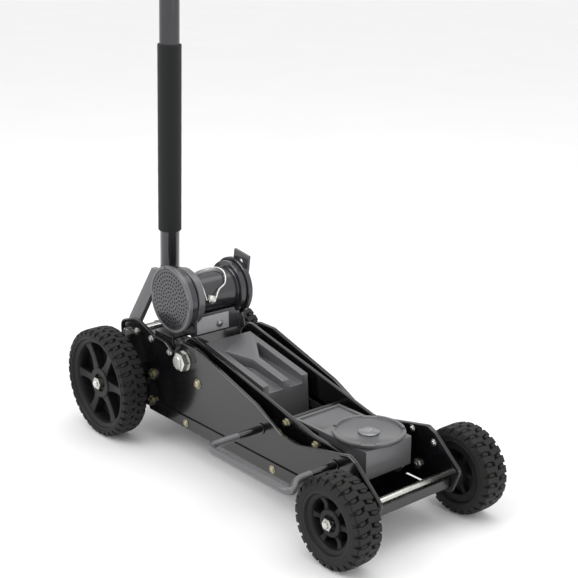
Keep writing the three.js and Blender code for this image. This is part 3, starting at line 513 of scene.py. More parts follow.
# ---- Objects --------------------------------------------------------------------------------
def outward_mesh(name, places, faces, merge=0.0):
    """A mesh through places in metres, its faces pointing outwards and its doubles merged if merge is set."""
    mesh = bpy.data.meshes.new(name)
    mesh.from_pydata(places, [], faces)
    work = bmesh.new()
    work.from_mesh(mesh)
    if merge:
        bmesh.ops.remove_doubles(work, verts=work.verts, dist=merge)
    bmesh.ops.recalc_face_normals(work, faces=work.faces)
    work.to_mesh(mesh)
    work.free()
    return mesh


def mesh_from(name, shape):
    """A shape as a mesh in the frame."""
    return outward_mesh(name, [ORIGIN + c * MM for c in shape[0]], shape[1], merge=1e-6)


def bare_mesh(name, shape):
    """A shape as a mesh round the origin, for a tree to repeat."""
    return outward_mesh(name, [c * MM for c in shape[0]], shape[1])


def smooth(mesh, degrees=38):
    """Shades a mesh smooth, apart from the edges sharper than an angle."""
    mesh.shade_smooth()
    mesh.set_sharp_from_angle(angle=math.radians(degrees))


def place_piece(name, mesh, body, slot, replaces=(), finish=None, degrees=38, edge=0.0):
    """Puts a finished mesh into the scene as a piece of a body."""
    smooth(mesh, degrees)
    mesh.materials.clear()
    mesh.materials.append(FINISH[finish or slot])
    piece = bpy.data.objects.new(name, mesh)
    bpy.context.scene.collection.objects.link(piece)
    if edge:
        bevel = piece.modifiers.new("edges", "BEVEL")
        bevel.width = edge * MM
        bevel.segments = 2
        bevel.limit_method = "ANGLE"
        bevel.angle_limit = math.radians(35)
        bevel.harden_normals = True
    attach(piece, body)
    if replaces:
        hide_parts(*replaces)
    return piece


def shape_piece(name, shape, body, slot, replaces=(), **options):
    return place_piece(name, mesh_from(name, shape), body, slot, replaces, **options)


def softened(node, name, body, slot, edge, finish=None):
    """A copy of a CAD node, its flat faces made whole and its edges rounded."""
    work = bmesh.new()
    work.from_mesh(frame["nodes"][node].data)
    bmesh.ops.remove_doubles(work, verts=work.verts, dist=2e-6)
    bmesh.ops.dissolve_limit(work, angle_limit=math.radians(1), verts=work.verts, edges=work.edges)
    mesh = bpy.data.meshes.new(name)
    work.to_mesh(mesh)
    work.free()
    return place_piece(name, mesh, body, slot, [node], finish=finish, edge=edge)


SIDES = (("right", -1), ("left", 1))


# ---- Geometry node trees --------------------------------------------------------------------
def new_tree(name, sockets):
    """A geometry node tree with named inputs, and the nodes that carry them."""
    tree = bpy.data.node_groups.new(name, "GeometryNodeTree")
    for label, kind in sockets:
        tree.interface.new_socket(label, in_out="INPUT", socket_type=kind)
    tree.interface.new_socket("Geometry", in_out="OUTPUT", socket_type="NodeSocketGeometry")
    return tree, add(tree, "NodeGroupInput").outputs


def close_tree(tree, inputs, geometry):
    """Ends a tree: real geometry in its finish."""
    real = add(tree, "GeometryNodeRealizeInstances", links={"Geometry": geometry})
    painted = add(tree, "GeometryNodeSetMaterial", links={
        "Geometry": real.outputs["Geometry"], "Material": inputs["Finish"]})
    add(tree, "NodeGroupOutput", links={"Geometry": painted.outputs["Geometry"]})
    return tree


def ring_tree():
    """Repeats its piece evenly round the local Z axis."""
    tree, inputs = new_tree("repeat_round_axis", [
        ("Piece", "NodeSocketGeometry"), ("Count", "NodeSocketInt"), ("Finish", "NodeSocketMaterial")])
    line = add(tree, "GeometryNodeMeshLine", {"Offset": (0, 0, 0)}, {"Count": inputs["Count"]})
    step = add(tree, "ShaderNodeMath", {0: 2 * math.pi}, {1: inputs["Count"]}, operation="DIVIDE")
    index = add(tree, "GeometryNodeInputIndex")
    angle = add(tree, "ShaderNodeMath", links={0: step.outputs[0], 1: index.outputs[0]}, operation="MULTIPLY")
    turn = add(tree, "FunctionNodeAxisAngleToRotation", {"Axis": (0, 0, 1)}, {"Angle": angle.outputs[0]})
    copies = add(tree, "GeometryNodeInstanceOnPoints", links={
        "Points": line.outputs["Mesh"], "Instance": inputs["Piece"], "Rotation": turn.outputs["Rotation"]})
    return close_tree(tree, inputs, copies.outputs["Instances"])


def fastener_tree():
    """Puts a fastener on each place of its mesh, its axis along the place's facing."""
    tree, inputs = new_tree("fasteners_on_places", [
        ("Places", "NodeSocketGeometry"), ("Fastener", "NodeSocketObject"), ("Finish", "NodeSocketMaterial")])
    source = add(tree, "GeometryNodeObjectInfo", links={"Object": inputs["Fastener"]})
    facing = add(tree, "GeometryNodeInputNamedAttribute", {"Name": "facing"}, data_type="FLOAT_VECTOR")
    turn = add(tree, "FunctionNodeAlignRotationToVector",
               links={"Vector": facing.outputs["Attribute"]}, axis="Z")
    copies = add(tree, "GeometryNodeInstanceOnPoints", links={
        "Points": inputs["Places"], "Instance": source.outputs["Geometry"],
        "Rotation": turn.outputs["Rotation"]})
    return close_tree(tree, inputs, copies.outputs["Instances"])


def pad_tree():
    """A round pad standing on local Z, drilled at each place of its mesh."""
    tree, inputs = new_tree("drilled_pad", [
        ("Places", "NodeSocketGeometry"), ("Pad Radius", "NodeSocketFloat"),
        ("Pad Height", "NodeSocketFloat"), ("Hole Radius", "NodeSocketFloat"),
        ("Hole Depth", "NodeSocketFloat"), ("Finish", "NodeSocketMaterial")])
    pad = add(tree, "GeometryNodeMeshCylinder", {"Vertices": 96}, {
        "Radius": inputs["Pad Radius"], "Depth": inputs["Pad Height"]})
    drill = add(tree, "GeometryNodeMeshCylinder", {"Vertices": 8}, {
        "Radius": inputs["Hole Radius"], "Depth": inputs["Hole Depth"]})
    drills = add(tree, "GeometryNodeInstanceOnPoints", links={
        "Points": inputs["Places"], "Instance": drill.outputs["Mesh"]})
    solid_drills = add(tree, "GeometryNodeRealizeInstances", links={"Geometry": drills.outputs["Instances"]})
    drilled = add(tree, "GeometryNodeMeshBoolean", links={
        "Mesh 1": pad.outputs["Mesh"], "Mesh 2": solid_drills.outputs["Geometry"]}, operation="DIFFERENCE")
    return close_tree(tree, inputs, drilled.outputs["Mesh"])


def grown(tree, base, values):
    """The plain mesh that a tree makes of a base mesh, its inputs set by identifier."""
    carrier = bpy.data.objects.new("carrier", base)
    bpy.context.scene.collection.objects.link(carrier)
    nodes = carrier.modifiers.new("grow", "NODES")
    nodes.node_group = tree
    known = {s.name: s.identifier for s in tree.interface.items_tree if s.in_out == "INPUT"}
    for name, value in values.items():
        nodes[known[name]] = value
    bpy.context.view_layer.update()
    evaluated = carrier.evaluated_get(bpy.context.evaluated_depsgraph_get())
    mesh = bpy.data.meshes.new_from_object(evaluated)
    bpy.data.objects.remove(carrier)
    return mesh


def ringed(name, shape, count, matrix, finish):
    """A shape repeated round its Z axis by the ring tree, then set in its place in the frame."""
    mesh = grown(TREES["ring"], bare_mesh(name, shape), {"Count": count, "Finish": FINISH[finish]})
    mesh.transform(frame_matrix(matrix))
    mesh.name = name
    return mesh


def frame_matrix(matrix):
    """A placing in millimetres as one in metres in the frame."""
    metres = matrix.copy()
    metres.translation = ORIGIN + matrix.translation * MM
    return metres


def fastened(name, fastener, places, body, slot, finish=None):
    """One piece of like fasteners on a body; places are (point, facing) in millimetres."""
    base = bpy.data.meshes.new(name)
    base.from_pydata([ORIGIN + Vector(p) * MM for p, _ in places], [], [])
    facing = base.attributes.new("facing", "FLOAT_VECTOR", "POINT")
    for item, (_, way) in zip(facing.data, places):
        item.vector = way
    source = bpy.data.objects.new("fastener", bare_mesh("fastener", fastener))
    bpy.context.scene.collection.objects.link(source)
    mesh = grown(TREES["fastener"], base, {"Fastener": source, "Finish": FINISH[finish or slot]})
    bpy.data.objects.remove(source)
    return place_piece(name, mesh, body, slot, finish=finish)


TREES = {}


# ---- Side plates and frame ------------------------------------------------------------------
def side_outline():
    """The side plate's outline, from its low rear corner over the top to the front."""
    floor = 54.0
    return rounded([
        (REAR.x - 28, 80, 8.5), (REAR.x - 26, YOKE.z + 22, 16), (REAR.x + 14, YOKE.z + 35.5, 24),
        (REAR.x + 36, YOKE.z + 35, 20), (REAR.x + 80, YOKE.z + 20, 20), (REAR.x + 118, YOKE.z + 17, 14),
        (LIFT.x - 33, LIFT.z + 6, 10), (LIFT.x - 12, LIFT.z + 33, 22), (LIFT.x + 38, LIFT.z + 32.5, 10),
        (FRONT.x - 255, LIFT.z - 17, 60), (FRONT.x - 190, HEAD.z + 13, 22), (FRONT.x - 150, HEAD.z + 9, 60),
        (FRONT.x - 32, HEAD.z + 34, 9), (FRONT.x - 16, HEAD.z + 27, 9), (FRONT.x + 41, FRONT.z + 22, 9),
        (FRONT.x + 25, floor, 14), (FRONT.x - 12, floor, 8.5), (REAR.x + 20, floor, 12)], 3.0)


def side_section(sizes, place):
    """Flat plate below, with its edge turned outwards above the front wheels' centres."""
    lip_starts, lip_grows = FRONT.z + 12, 14
    h = sizes.lip * max(0.0, min(1.0, (place.y - lip_starts) / lip_grows))
    t = sizes.plate
    return [(7.5, 0), (2.6, 0), (0.8, 0.8), (0, 2.6), (0, t + h - 1), (0.9, t + h), (2.6, t + h),
            (3.5, t + max(0.0, h - 1)), (3.5, t + min(2.2, h)), (4.2, t + min(0.7, h)), (5.7, t), (7.5, t)]


def side_matrix(side):
    """Stands a drawing on the inner face of a side's web, its thickness outwards."""
    inner = WEB_OUTER - bpy.context.scene.floor_jack_sizes.plate
    if side > 0:
        return shift(y=inner) @ UPRIGHT
    return Matrix.Scale(-1, 4, (0, 1, 0)) @ shift(y=inner) @ UPRIGHT


class FLOORJACK_OT_side_plates(bpy.types.Operator):
    """Pressed side plates with their edges turned outwards"""
    bl_idname = "floorjack.side_plates"
    bl_label = "Side Plates"

    def execute(self, context):
        sizes = context.scene.floor_jack_sizes
        plate = edged_plate(side_outline(), lambda p: side_section(sizes, p))
        for word, side in SIDES:
            shape_piece(f"side_plate_{word}_pressed", moved(plate, side_matrix(side)), "frame",
                        "gloss_black", [f"side_plate_{word}"])
        softened("skid_plate", "skid_plate_bent", "frame", "gloss_black", 0.8)
        softened("storage_bracket", "storage_bracket_bent", "frame", "gloss_black", 1.0)
        return {"FINISHED"}


# ---- Fasteners ------------------------------------------------------------------------------
def flange_bolt(across, flange, height):
    """A hexagon head on its round flange, with the end of its shank standing out of it."""
    collar = [(0, 0), (flange / 2, 0), (flange / 2, 1.0), (across / 2 + 0.6, 2.0), (0, 2.0)]
    shank = [(0, height - 0.4), (across * 0.3, height - 0.4), (across * 0.26, height + 0.5),
             (0, height + 0.5)]
    return together(turned(collar, 32), hexagon(across, 1.6, height), turned(shank, 24))


def dome_screw(radius, height):
    """A round-headed screw on a washer, with a sunk recess in its head."""
    washer = turned([(0, 0), (radius + 2, 0), (radius + 2, 0.8), (radius + 1.6, 1.2), (0, 1.2)], 32)
    head = turned([(0, 1.0), (radius, 1.0), (radius * 0.96, height * 0.55), (radius * 0.78, height * 0.86),
                   (radius * 0.45, height), (radius * 0.24, height), (radius * 0.14, height - 1.2),
                   (0, height - 1.4)], 24)
    return together(washer, head)


class FLOORJACK_OT_fasteners(bpy.types.Operator):
    """Bolts, screws and nuts on the frame and the lift arm"""
    bl_idname = "floorjack.fasteners"
    bl_label = "Fasteners"

    def execute(self, context):
        seat = 0.05  # a fastener stands this far off its plate, so that no two faces share a plane
        web_outer = WEB_OUTER + seat
        web_inner = WEB_OUTER - context.scene.floor_jack_sizes.plate - seat
        skid_outer, arm_outer = WEB_OUTER + 2.85, 67.6
        for name, fastener, places, face, way, body, finish in (
                ("frame_small_bolts", flange_bolt(8.5, 12.5, 5.2),
                 [(-293.6, 192.6), (-246.4, 190.7), (-188.4, 181.3)], web_outer, 1, "frame", None),
                ("frame_axle_bolts", flange_bolt(14, 21, 7.6),
                 [(-243.3, 123.6), (-246.5, 70.1)], web_outer, 1, "frame", "passivate"),
                ("frame_unit_bolts", dome_screw(7, 5.5),
                 [(-104.6, 145.7)], web_outer, 1, "frame", "passivate"),
                ("skid_screws", dome_screw(5, 4.2),
                 [(-139.9, 61.2), (104.2, 61.1)], skid_outer, 1, "frame", "passivate"),
                ("frame_inner_nuts", flange_bolt(13, 19, 6.5),
                 [(268.6, 80.5)], web_inner, -1, "frame", None),
                ("frame_inner_screws", dome_screw(4, 3.4),
                 [(252.7, 136.5), (300, 128)], web_inner, -1, "frame", None),
                ("arm_bolts", flange_bolt(11, 17, 6.2),
                 [(115.8, 141.2), (187.4, 126)], arm_outer, 1, "lift_arm", "passivate")):
            fastened(name, fastener, [((x, side * face, z), (0, side * way, 0))
                                      for _, side in SIDES for x, z in places], body, "zinc", finish)
        nut = together(turned(chamfered(18.5, 0, 2.7, 0.6), 64), hexagon(30.5, 2.4, 15.5, 2.0),
                       turned([(0, 12), (11.5, 12), (11.5, 17.4), (10.6, 18.3), (0, 18.3)], 48))
        bolt = together(hexagon(18, 0, 6.6, 1.4),
                        turned([(0, 6.2), (4.6, 6.2), (4.2, 7.0), (0, 7.0)], 32))
        for word, side in SIDES:
            against_web = side * (WEB_OUTER + CLEARANCE)
            shape_piece(f"lift_pivot_nut_{word}_flanged",
                        moved(nut, shift(LIFT.x, against_web, LIFT.z) @ facing(side)),
                        "frame", "zinc", [f"lift_pivot_nut_{word}"])
            shape_piece(f"yoke_bolt_{word}_head",
                        moved(bolt, shift(YOKE.x, against_web, YOKE.z) @ facing(side)), "frame", "zinc")
        return {"FINISHED"}


def facing(side):
    """Turns local Z to the outward way of a side."""
    return TO_Y if side > 0 else TO_Y @ Matrix.Rotation(math.pi, 4, "X")


# ---- Axles ----------------------------------------------------------------------------------
COLLAR_STEP = 6  # how far an axle's collars stand out round it, mm


def collar_radius(place):
    """The radius of an axle's collars, mm."""
    low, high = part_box(f"{place}_axle")
    return (high.z - low.z) / 2 / MM


class FLOORJACK_OT_axles(bpy.types.Operator):
    """Rear and front axles with their collars, and the hub nuts"""
    bl_idname = "floorjack.axles"
    bl_label = "Axles"

    def execute(self, context):
        for place, centre, finish, nut_across in (
                ("rear", REAR, "steel", 21), ("front", FRONT, "zinc", 17.5)):
            half = local(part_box(f"{place}_axle")[1]).y
            collar = collar_radius(place)
            radius = collar - COLLAR_STEP
            foot = WEB_OUTER + CLEARANCE
            tyre_inner = local(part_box(f"{place}_tyre_left")[0]).y
            ring = turned([(radius, foot), (collar - 1, foot), (collar, foot + 1),
                           (collar, tyre_inner - 1 - CLEARANCE), (collar - 1, tyre_inner - CLEARANCE),
                           (radius, tyre_inner - CLEARANCE)], 48)
            other_ring = moved(ring, Matrix.Rotation(math.pi, 4, "X"))
            bar = together(turned(chamfered(radius, -half, half, 1.2), 64), ring, other_ring)
            shape_piece(f"{place}_axle_turned", moved(bar, shift(centre.x, 0, centre.z) @ TO_Y), "frame",
                        finish, [f"{place}_axle"])
            for word, side in SIDES:
                a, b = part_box(f"{place}_hub_nut_{word}")
                inner, outer = sorted((abs(local(a).y), abs(local(b).y)))
                tall = outer - inner
                dome = [(0, tall - 3), (nut_across * 0.33, tall - 3), (nut_across * 0.33, tall - 1.0),
                        (nut_across * 0.29, tall), (0, tall)]
                nut = together(hexagon(nut_across, 0, tall - 2.2, 1.8), turned(dome, 32))
                shape_piece(f"{place}_hub_nut_{word}_domed",
                            moved(nut, shift(centre.x, side * inner, centre.z) @ facing(side)),
                            "frame", "zinc", [f"{place}_hub_nut_{word}"])
        return {"FINISHED"}


# ---- Wheels ---------------------------------------------------------------------------------
def tread_block(outline, radius, depth):
    """One block: an outline in (mm round the tyre, mm across) standing on the carcass, with a spread
    foot and a worn edge. The tyre's crown falls away towards its shoulders."""
    crown, crown_at, foot, worn, worn_down = 3.0, 26, 0.9, 0.9, 1.3
    points = anticlockwise([Vector(p) for p in outline])
    rows = []
    for inset, rise in ((-foot, -depth), (0.0, -worn_down), (worn, 0.0)):
        row = []
        for p, way in zip(points, inward_ways(points)):
            u, v = p.x + way.x * inset, p.y + way.y * inset
            r = radius - crown * (abs(v) / crown_at) ** 4 + rise
            row.append((r * math.cos(u / radius), r * math.sin(u / radius), v))
        rows.append(row)
    return skinned(rows)


def tread_pitch(radius, width, depth, pitch):
    """The blocks of one pitch: lugs laid across the tyre in two staggered rows that interlock along its
    middle, each running out over its shoulder, with a short lug between them that stops before it.
    A lug's half length round the tyre is its share of the pitch, and it starts near the middle."""
    half, slant, shoulder_top, shoulder_foot = width / 2, 0.16 * pitch, radius - 3.4, radius - 12.5
    blocks = []
    for side, lead in ((1, 0.0), (-1, 0.5)):
        for runs_out, start, share, edge in ((True, -3.5, 0.30, half - 4.6), (False, 7.0, 0.17, half - 9.0)):
            at = (lead + (0.0 if runs_out else 0.5)) * pitch
            wide, wide_out = share * pitch, (share + 0.04) * pitch
            lug = [(at - wide + slant, side * start), (at + wide + slant, side * (start + 2.5)),
                   (at + wide, side * 13.0), (at + wide_out, side * edge),
                   (at - wide_out, side * edge), (at - wide, side * 12.0)]
            blocks.append(tread_block(lug, radius, depth))
            if not runs_out:
                continue
            wide_down = (share + 0.03) * pitch
            shoulder = [Vector((r * math.cos(a), r * math.sin(a), side * v))
                        for r, v in ((shoulder_top, half - 7.5), (shoulder_top, half - 2.6),
                                     (shoulder_foot, half - 0.05), (shoulder_foot, half - 4.5))
                        for a in ((at - wide_down) / radius, (at + wide_down) / radius)]
            blocks.append((shoulder, [
                (0, 1, 3, 2), (2, 3, 5, 4), (4, 5, 7, 6), (6, 7, 1, 0), (0, 2, 4, 6), (1, 7, 5, 3)]))
    return together(*blocks)


def carcass(radius, rim, width, depth):
    """The tyre under its tread: crown, rounded shoulders, sidewalls with a rib, and beads on the rim."""
    half = width / 2
    crown = radius - depth
    side = [(rim + 0.2, half - 6.5), (rim + 0.2, half - 3.5), (rim + 1.6, half - 1.2),
            (rim + 3.6, half - 0.3), (rim + 5.0, half - 0.9), (radius - 13.5, half - 0.5),
            (radius - 11, half - 0.8), (radius - 8, half - 3.0), (crown - 0.5, half - 6.5),
            (crown, half - 10)]
    return [(a, -b) for a, b in side] + side[::-1]


def hub_profile(rim, width, bore, boss, recess):
    """The hub's turned parts: rim channel with its broad outer flange, and the boss with its nut recess."""
    half = width / 2
    flange = [(rim - 12.5, -half + 5), (rim - 0.3, -half + 5), (rim - 0.3, half - 4.5),
              (rim + 2.6, half - 4.0), (rim + 2.6, half - 2.2), (rim + 1.4, half - 1.2),
              (rim - 1.6, half - 1.2), (rim - 3.0, half - 2.6), (rim - 4.2, half - 6.0),
              (rim - 9.5, half - 8.5), (rim - 11.2, half - 10.5), (rim - 12.5, half - 22)]
    centre = [(bore, -half), (boss, -half), (boss, half - 11.3), (boss - 1.2, half - 9.8),
              (recess + 1.2, half - 9.8), (recess, half - 10.8), (recess, half - 15.0), (bore, half - 15.0)]
    return flange, centre


def spoke(rim, boss, width, wide_at):
    """One broad ribbed spoke between boss and rim, its face dished and its flanks drafted."""
    inner, outer = boss - 2, rim - 11.5
    crest, back, dish = width / 2 - 12.0, -width / 2 + 9, 3.0
    rows = []
    for share in (0.0, 0.2, 0.5, 0.8, 1.0):
        r = inner + (outer - inner) * share
        wide = wide_at + 0.45 * wide_at * abs(2 * share - 1) ** 3
        face = crest - dish * math.sin(math.pi * share)
        rows.append([(r, -wide * 0.8, back), (r, wide * 0.8, back), (r, wide, face - 1.6),
                     (r, wide - 1.2, face), (r, -wide + 1.2, face), (r, -wide, face - 1.6)])
    return skinned(rows)


class FLOORJACK_OT_wheels(bpy.types.Operator):
    """Four wheels: treaded tyres on spoked hubs"""
    bl_idname = "floorjack.wheels"
    bl_label = "Wheels"

    def execute(self, context):
        sizes = context.scene.floor_jack_sizes
        carcass_depth = sizes.tread - 0.6  # the blocks' feet are sunk in the carcass by the difference
        web_back, web_front = -9.5, -6.5  # the thin disc behind the spokes
        for place, centre, boss, recess, spoke_wide in (
                ("rear", REAR, 28.5, 16.5, 7.0), ("front", FRONT, 22.0, 12.8, 4.4)):
            bore = collar_radius(place) - COLLAR_STEP + CLEARANCE
            for word, side in SIDES:
                low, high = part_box(f"{place}_tyre_{word}")
                radius = (high.z - low.z) / 2 / MM
                width = (high.y - low.y) / MM
                hub_low, hub_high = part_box(f"{place}_hub_{word}")
                rim = (hub_high.z - hub_low.z) / 2 / MM + CLEARANCE
                mid = local((low + high) / 2)
                where = shift(centre.x, mid.y, centre.z) @ facing(side)
                body = f"{place}_wheel_{word}"
                count = round(2 * math.pi * radius / sizes.pitch)
                pitch = 2 * math.pi * radius / count
                name = f"{place}_tread_{word}"
                blocks = ringed(name, tread_pitch(radius, width, sizes.tread, pitch), count, where, "tyre")
                place_piece(name, blocks, body, "tyre", degrees=30)
                shape_piece(f"{place}_tyre_{word}_carcass",
                            moved(turned(carcass(radius, rim, width, carcass_depth), 128), where),
                            body, "tyre", [f"{place}_tyre_{word}"])
                flange, core = hub_profile(rim, width, bore, boss, recess)
                disc = [(boss - 1, web_back), (rim - 12, web_back), (rim - 12, web_front),
                        (boss - 1, web_front)]
                shape_piece(f"{place}_hub_{word}_rim", moved(together(
                    turned(flange, 128), turned(core, 96), turned(disc, 96)), where), body, "composite",
                    [f"{place}_hub_{word}"])
                name = f"{place}_spokes_{word}"
                spokes = ringed(name, spoke(rim, boss, width, spoke_wide), sizes.spokes, where, "composite")
                place_piece(name, spokes, body, "composite")
        return {"FINISHED"}


# ---- Lift arm -------------------------------------------------------------------------------
def arm_outline():
    """The arm's outline, its top edge straight from over its lift pivot to over its head pivot."""
    depth, over_lift, over_head = 46, 36.8, 10.0

    def top(x):
        fall = LIFT.z + (over_lift - over_head) - HEAD.z
        return LIFT.z + over_lift - fall * (x - LIFT.x) / (HEAD.x - LIFT.x)

    return rounded([
        (LIFT.x - 27, LIFT.z + 20, 16), (LIFT.x - 8, top(LIFT.x - 8), 22),
        (LIFT.x + 28, top(LIFT.x + 28), 20), (HEAD.x - 60, top(HEAD.x - 60), 30),
        (HEAD.x + 19, HEAD.z + 17, 15), (HEAD.x + 18, HEAD.z - 18, 15), (HEAD.x - 20, HEAD.z - 16, 20),
        (LIFT.x + 150, top(LIFT.x + 150) - depth, 60), (LIFT.x + 40, top(LIFT.x + 40) - depth, 30),
        (CRANK.x + 24, CRANK.z - 2, 10), (CRANK.x + 9, CRANK.z - 13, 9),
        (CRANK.x - 15, CRANK.z - 9, 11), (CRANK.x - 12, CRANK.z + 22, 14)], 3.0)


class FLOORJACK_OT_lift_arm(bpy.types.Operator):
    """Lift arm plates with their tube, pin and bar"""
    bl_idname = "floorjack.lift_arm"
    bl_label = "Lift Arm"

    def execute(self, context):
        edge = context.scene.floor_jack_sizes.edge
        for word, side in SIDES:
            low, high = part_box(f"arm_plate_{word}")
            thick = (high.y - low.y) / MM
            plate = edged_plate(arm_outline(), lambda p: bar_section(thick, edge))
            shape_piece(f"arm_plate_{word}_cut", moved(plate, shift(y=local(low).y) @ UPRIGHT), "lift_arm",
                        "gloss_black", [f"arm_plate_{word}"])
        span_y = local(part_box("arm_pivot_tube")[1]).y
        for node, centre, radius, bore, finish in (
                ("arm_pivot_tube", LIFT, 16.0, 12.3, "gloss_black"),
                ("arm_crank_pin", CRANK, 8.0, 0.0, "steel"),
                ("arm_cross_bar", local(middle("arm_cross_bar")), 5.0, 0.0, "gloss_black")):
            bar = turned(chamfered(radius, -span_y, span_y, 0.8, bore), 64)
            shape_piece(f"{node}_turned", moved(bar, shift(centre.x, 0, centre.z) @ TO_Y), "lift_arm",
                        finish, [node])
        return {"FINISHED"}


# ---- Saddle and its head --------------------------------------------------------------------
RIM_LANDS = 4  # raised lands round a saddle's rim, with notches between them


class FLOORJACK_OT_saddle(bpy.types.Operator):
    """Saddle head with its tray, the notched saddle and its centre boss"""
    bl_idname = "floorjack.saddle"
    bl_label = "Saddle"

    def execute(self, context):
        edge = context.scene.floor_jack_sizes.edge
        softened("saddle_head", "saddle_head_welded", "head", "metallic_grey", edge)
        low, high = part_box("saddle_cup")
        radius = (high.x - low.x) / 2 / MM
        top = local(high).z
        stem = local(low).z
        at = shift(HEAD.x, 0, 0)
        cup = turned([(0, stem), (11.5, stem), (11.5, top - 9.2), (radius - 4.5, top - 9.2),
                      (radius - 2.6, top - 8.2), (radius - 1.4, top - 6.0), (radius - 0.3, top - 3.2),
                      (radius, top - 2.6), (radius - 0.3, top - 2.1), (radius - 5.6, top - 2.1),
                      (radius - 6.2, top - 2.8), (radius - 6.6, top - 4.6), (radius - 7.4, top - 5.2),
                      (0, top - 5.2)], 128)
        shape_piece("saddle_cup_cast", moved(cup, at), "saddle", "metallic_grey", ["saddle_cup"])
        section = [(radius - 6.0, top - 2.3), (radius - 0.5, top - 2.3), (radius - 0.1, top - 1.6),
                   (radius - 0.4, top - 0.5), (radius - 1.2, top), (radius - 4.6, top),
                   (radius - 5.6, top - 0.6)]
        rim = ringed("saddle_rim_lands", arc_of(section, 66, 20), RIM_LANDS, at, "metallic_grey")
        place_piece("saddle_rim_lands", rim, "saddle", "metallic_grey")
        boss = turned([(0, top - 5), (17.2, top - 5), (17.2, top - 3.6), (16.2, top - 2.8), (6.5, top - 2.6),
                       (6.0, top - 3.2), (4.2, top - 3.2), (3.8, top - 2.8), (0, top - 2.8)], 64)
        shape_piece("saddle_button_turned", moved(boss, at), "saddle", "steel", ["saddle_button"])
        return {"FINISHED"}


# ---- Power unit cover -----------------------------------------------------------------------
class FLOORJACK_OT_cover(bpy.types.Operator):
    """Pressed cover over the hydraulic unit, with its two troughs"""
    bl_idname = "floorjack.cover"
    bl_label = "Power Unit Cover"

    def execute(self, context):
        softened("power_unit_cover", "power_unit_cover_pressed", "frame", "metallic_grey", 1.6)
        softened("cover_cross_bar", "cover_cross_bar_bent", "frame", "gloss_black", 0.6)
        return {"FINISHED"}


# ---- Handle ---------------------------------------------------------------------------------
TUBE_AHEAD = 12.3  # how far the tube stands ahead of the yoke's pivot, mm


def handle_matrix():
    """Local Z along the tube, X forward, with the origin on the yoke's pivot."""
    ahead = Vector((TWIST.z, 0, -TWIST.x))
    turn = Matrix((ahead, Vector((0, 1, 0)), TWIST)).transposed().to_4x4()
    return shift(YOKE.x, 0, YOKE.z) @ turn


def along_handle(z):
    """How far up the handle's axis a height is."""
    return (z - YOKE.z) / TWIST.z


def yoke_shape():
    """The yoke about its pivot: two leaning straps up to the tube's socket, the pivot shaft, and the pump
    roller between two cheeks."""
    strap_inner, strap_outer, top, strap_wide = 67.0, 75.0, 112.0, 32
    stand = Matrix(((0, 0, 1, -14), (1, 0, 0, 0), (0, 1, 0, 0), (0, 0, 0, 1)))
    straps = []
    for _, side in SIDES:
        outline = [Vector((side * y, z)) for y, z in (
            (strap_inner, -10), (strap_outer, -10), (strap_outer, 24), (strap_outer - 2.5, 29),
            (24, top), (14, top), (strap_inner - 2.5, 23), (strap_inner, 18))]
        straps.append(moved(edged_plate(outline, lambda p: bar_section(strap_wide, 1.0)), stand))
    socket = turned([(18.3, 62), (21.6, 62), (23, 63.4), (23, top - 1.4), (21.6, top), (18.3, top)], 96)
    shaft = moved(turned(chamfered(8, -strap_inner, strap_inner, 0.8), 48), TO_Y)
    angle = math.radians(37.5) - math.atan2(TWIST.x, TWIST.z)
    reach = 30.0
    x, z = -reach * math.sin(angle), -reach * math.cos(angle)
    roller = moved(turned(chamfered(9, -15, 15, 0.8), 48), shift(x, 0, z) @ TO_Y)
    cheek_outline = [(-13, 6, 9), (9, 11, 11), (14, -4, 9), (x + 8, z - 5, 8), (x - 9, z - 4, 8)]
    cheek = edged_plate(rounded(cheek_outline, 2.0), lambda p: bar_section(6, 0.7))
    return together(moved(socket, shift(x=TUBE_AHEAD)), *straps, shaft, roller,
                    *[moved(cheek, shift(y=y) @ UPRIGHT) for y in (-20, 14)])


def sleeve_profile(radius, low, high):
    """The foam sleeve on its tube: rounded ends and a faint waviness along it."""
    outer, end, wave, waves, steps = 21.5, 2.2, 0.12, 9, 40
    rows = [(radius + CLEARANCE, low), (20.2, low), (21.2, low + 0.9), (outer, low + end)]
    rows += [(outer - wave * math.sin(waves * math.pi * k / steps) ** 2,
              low + end + (high - low - 2 * end) * k / steps) for k in range(1, steps)]
    return rows + [(outer, high - end), (21.2, high - 0.9), (20.2, high), (radius + CLEARANCE, high)]


def end_grip_profile(radius, tube_top, end):
    """The end grip: a plug in the tube, grooves a centimetre apart and a domed end."""
    plug, groove, grooves, apart = 15.2, radius - 0.8, 8, 10
    rows = [(0, tube_top - 30), (plug, tube_top - 30), (plug, tube_top + CLEARANCE),
            (radius, tube_top + CLEARANCE)]
    for k in range(1, grooves + 1):
        at = tube_top + apart * k
        rows += [(radius, at - 3.0), (groove, at - 2.2), (groove, at - 0.8), (radius, at)]
    return rows + [(radius, end - 6), (17.3, end - 3), (15.5, end - 0.8), (13, end), (0, end)]


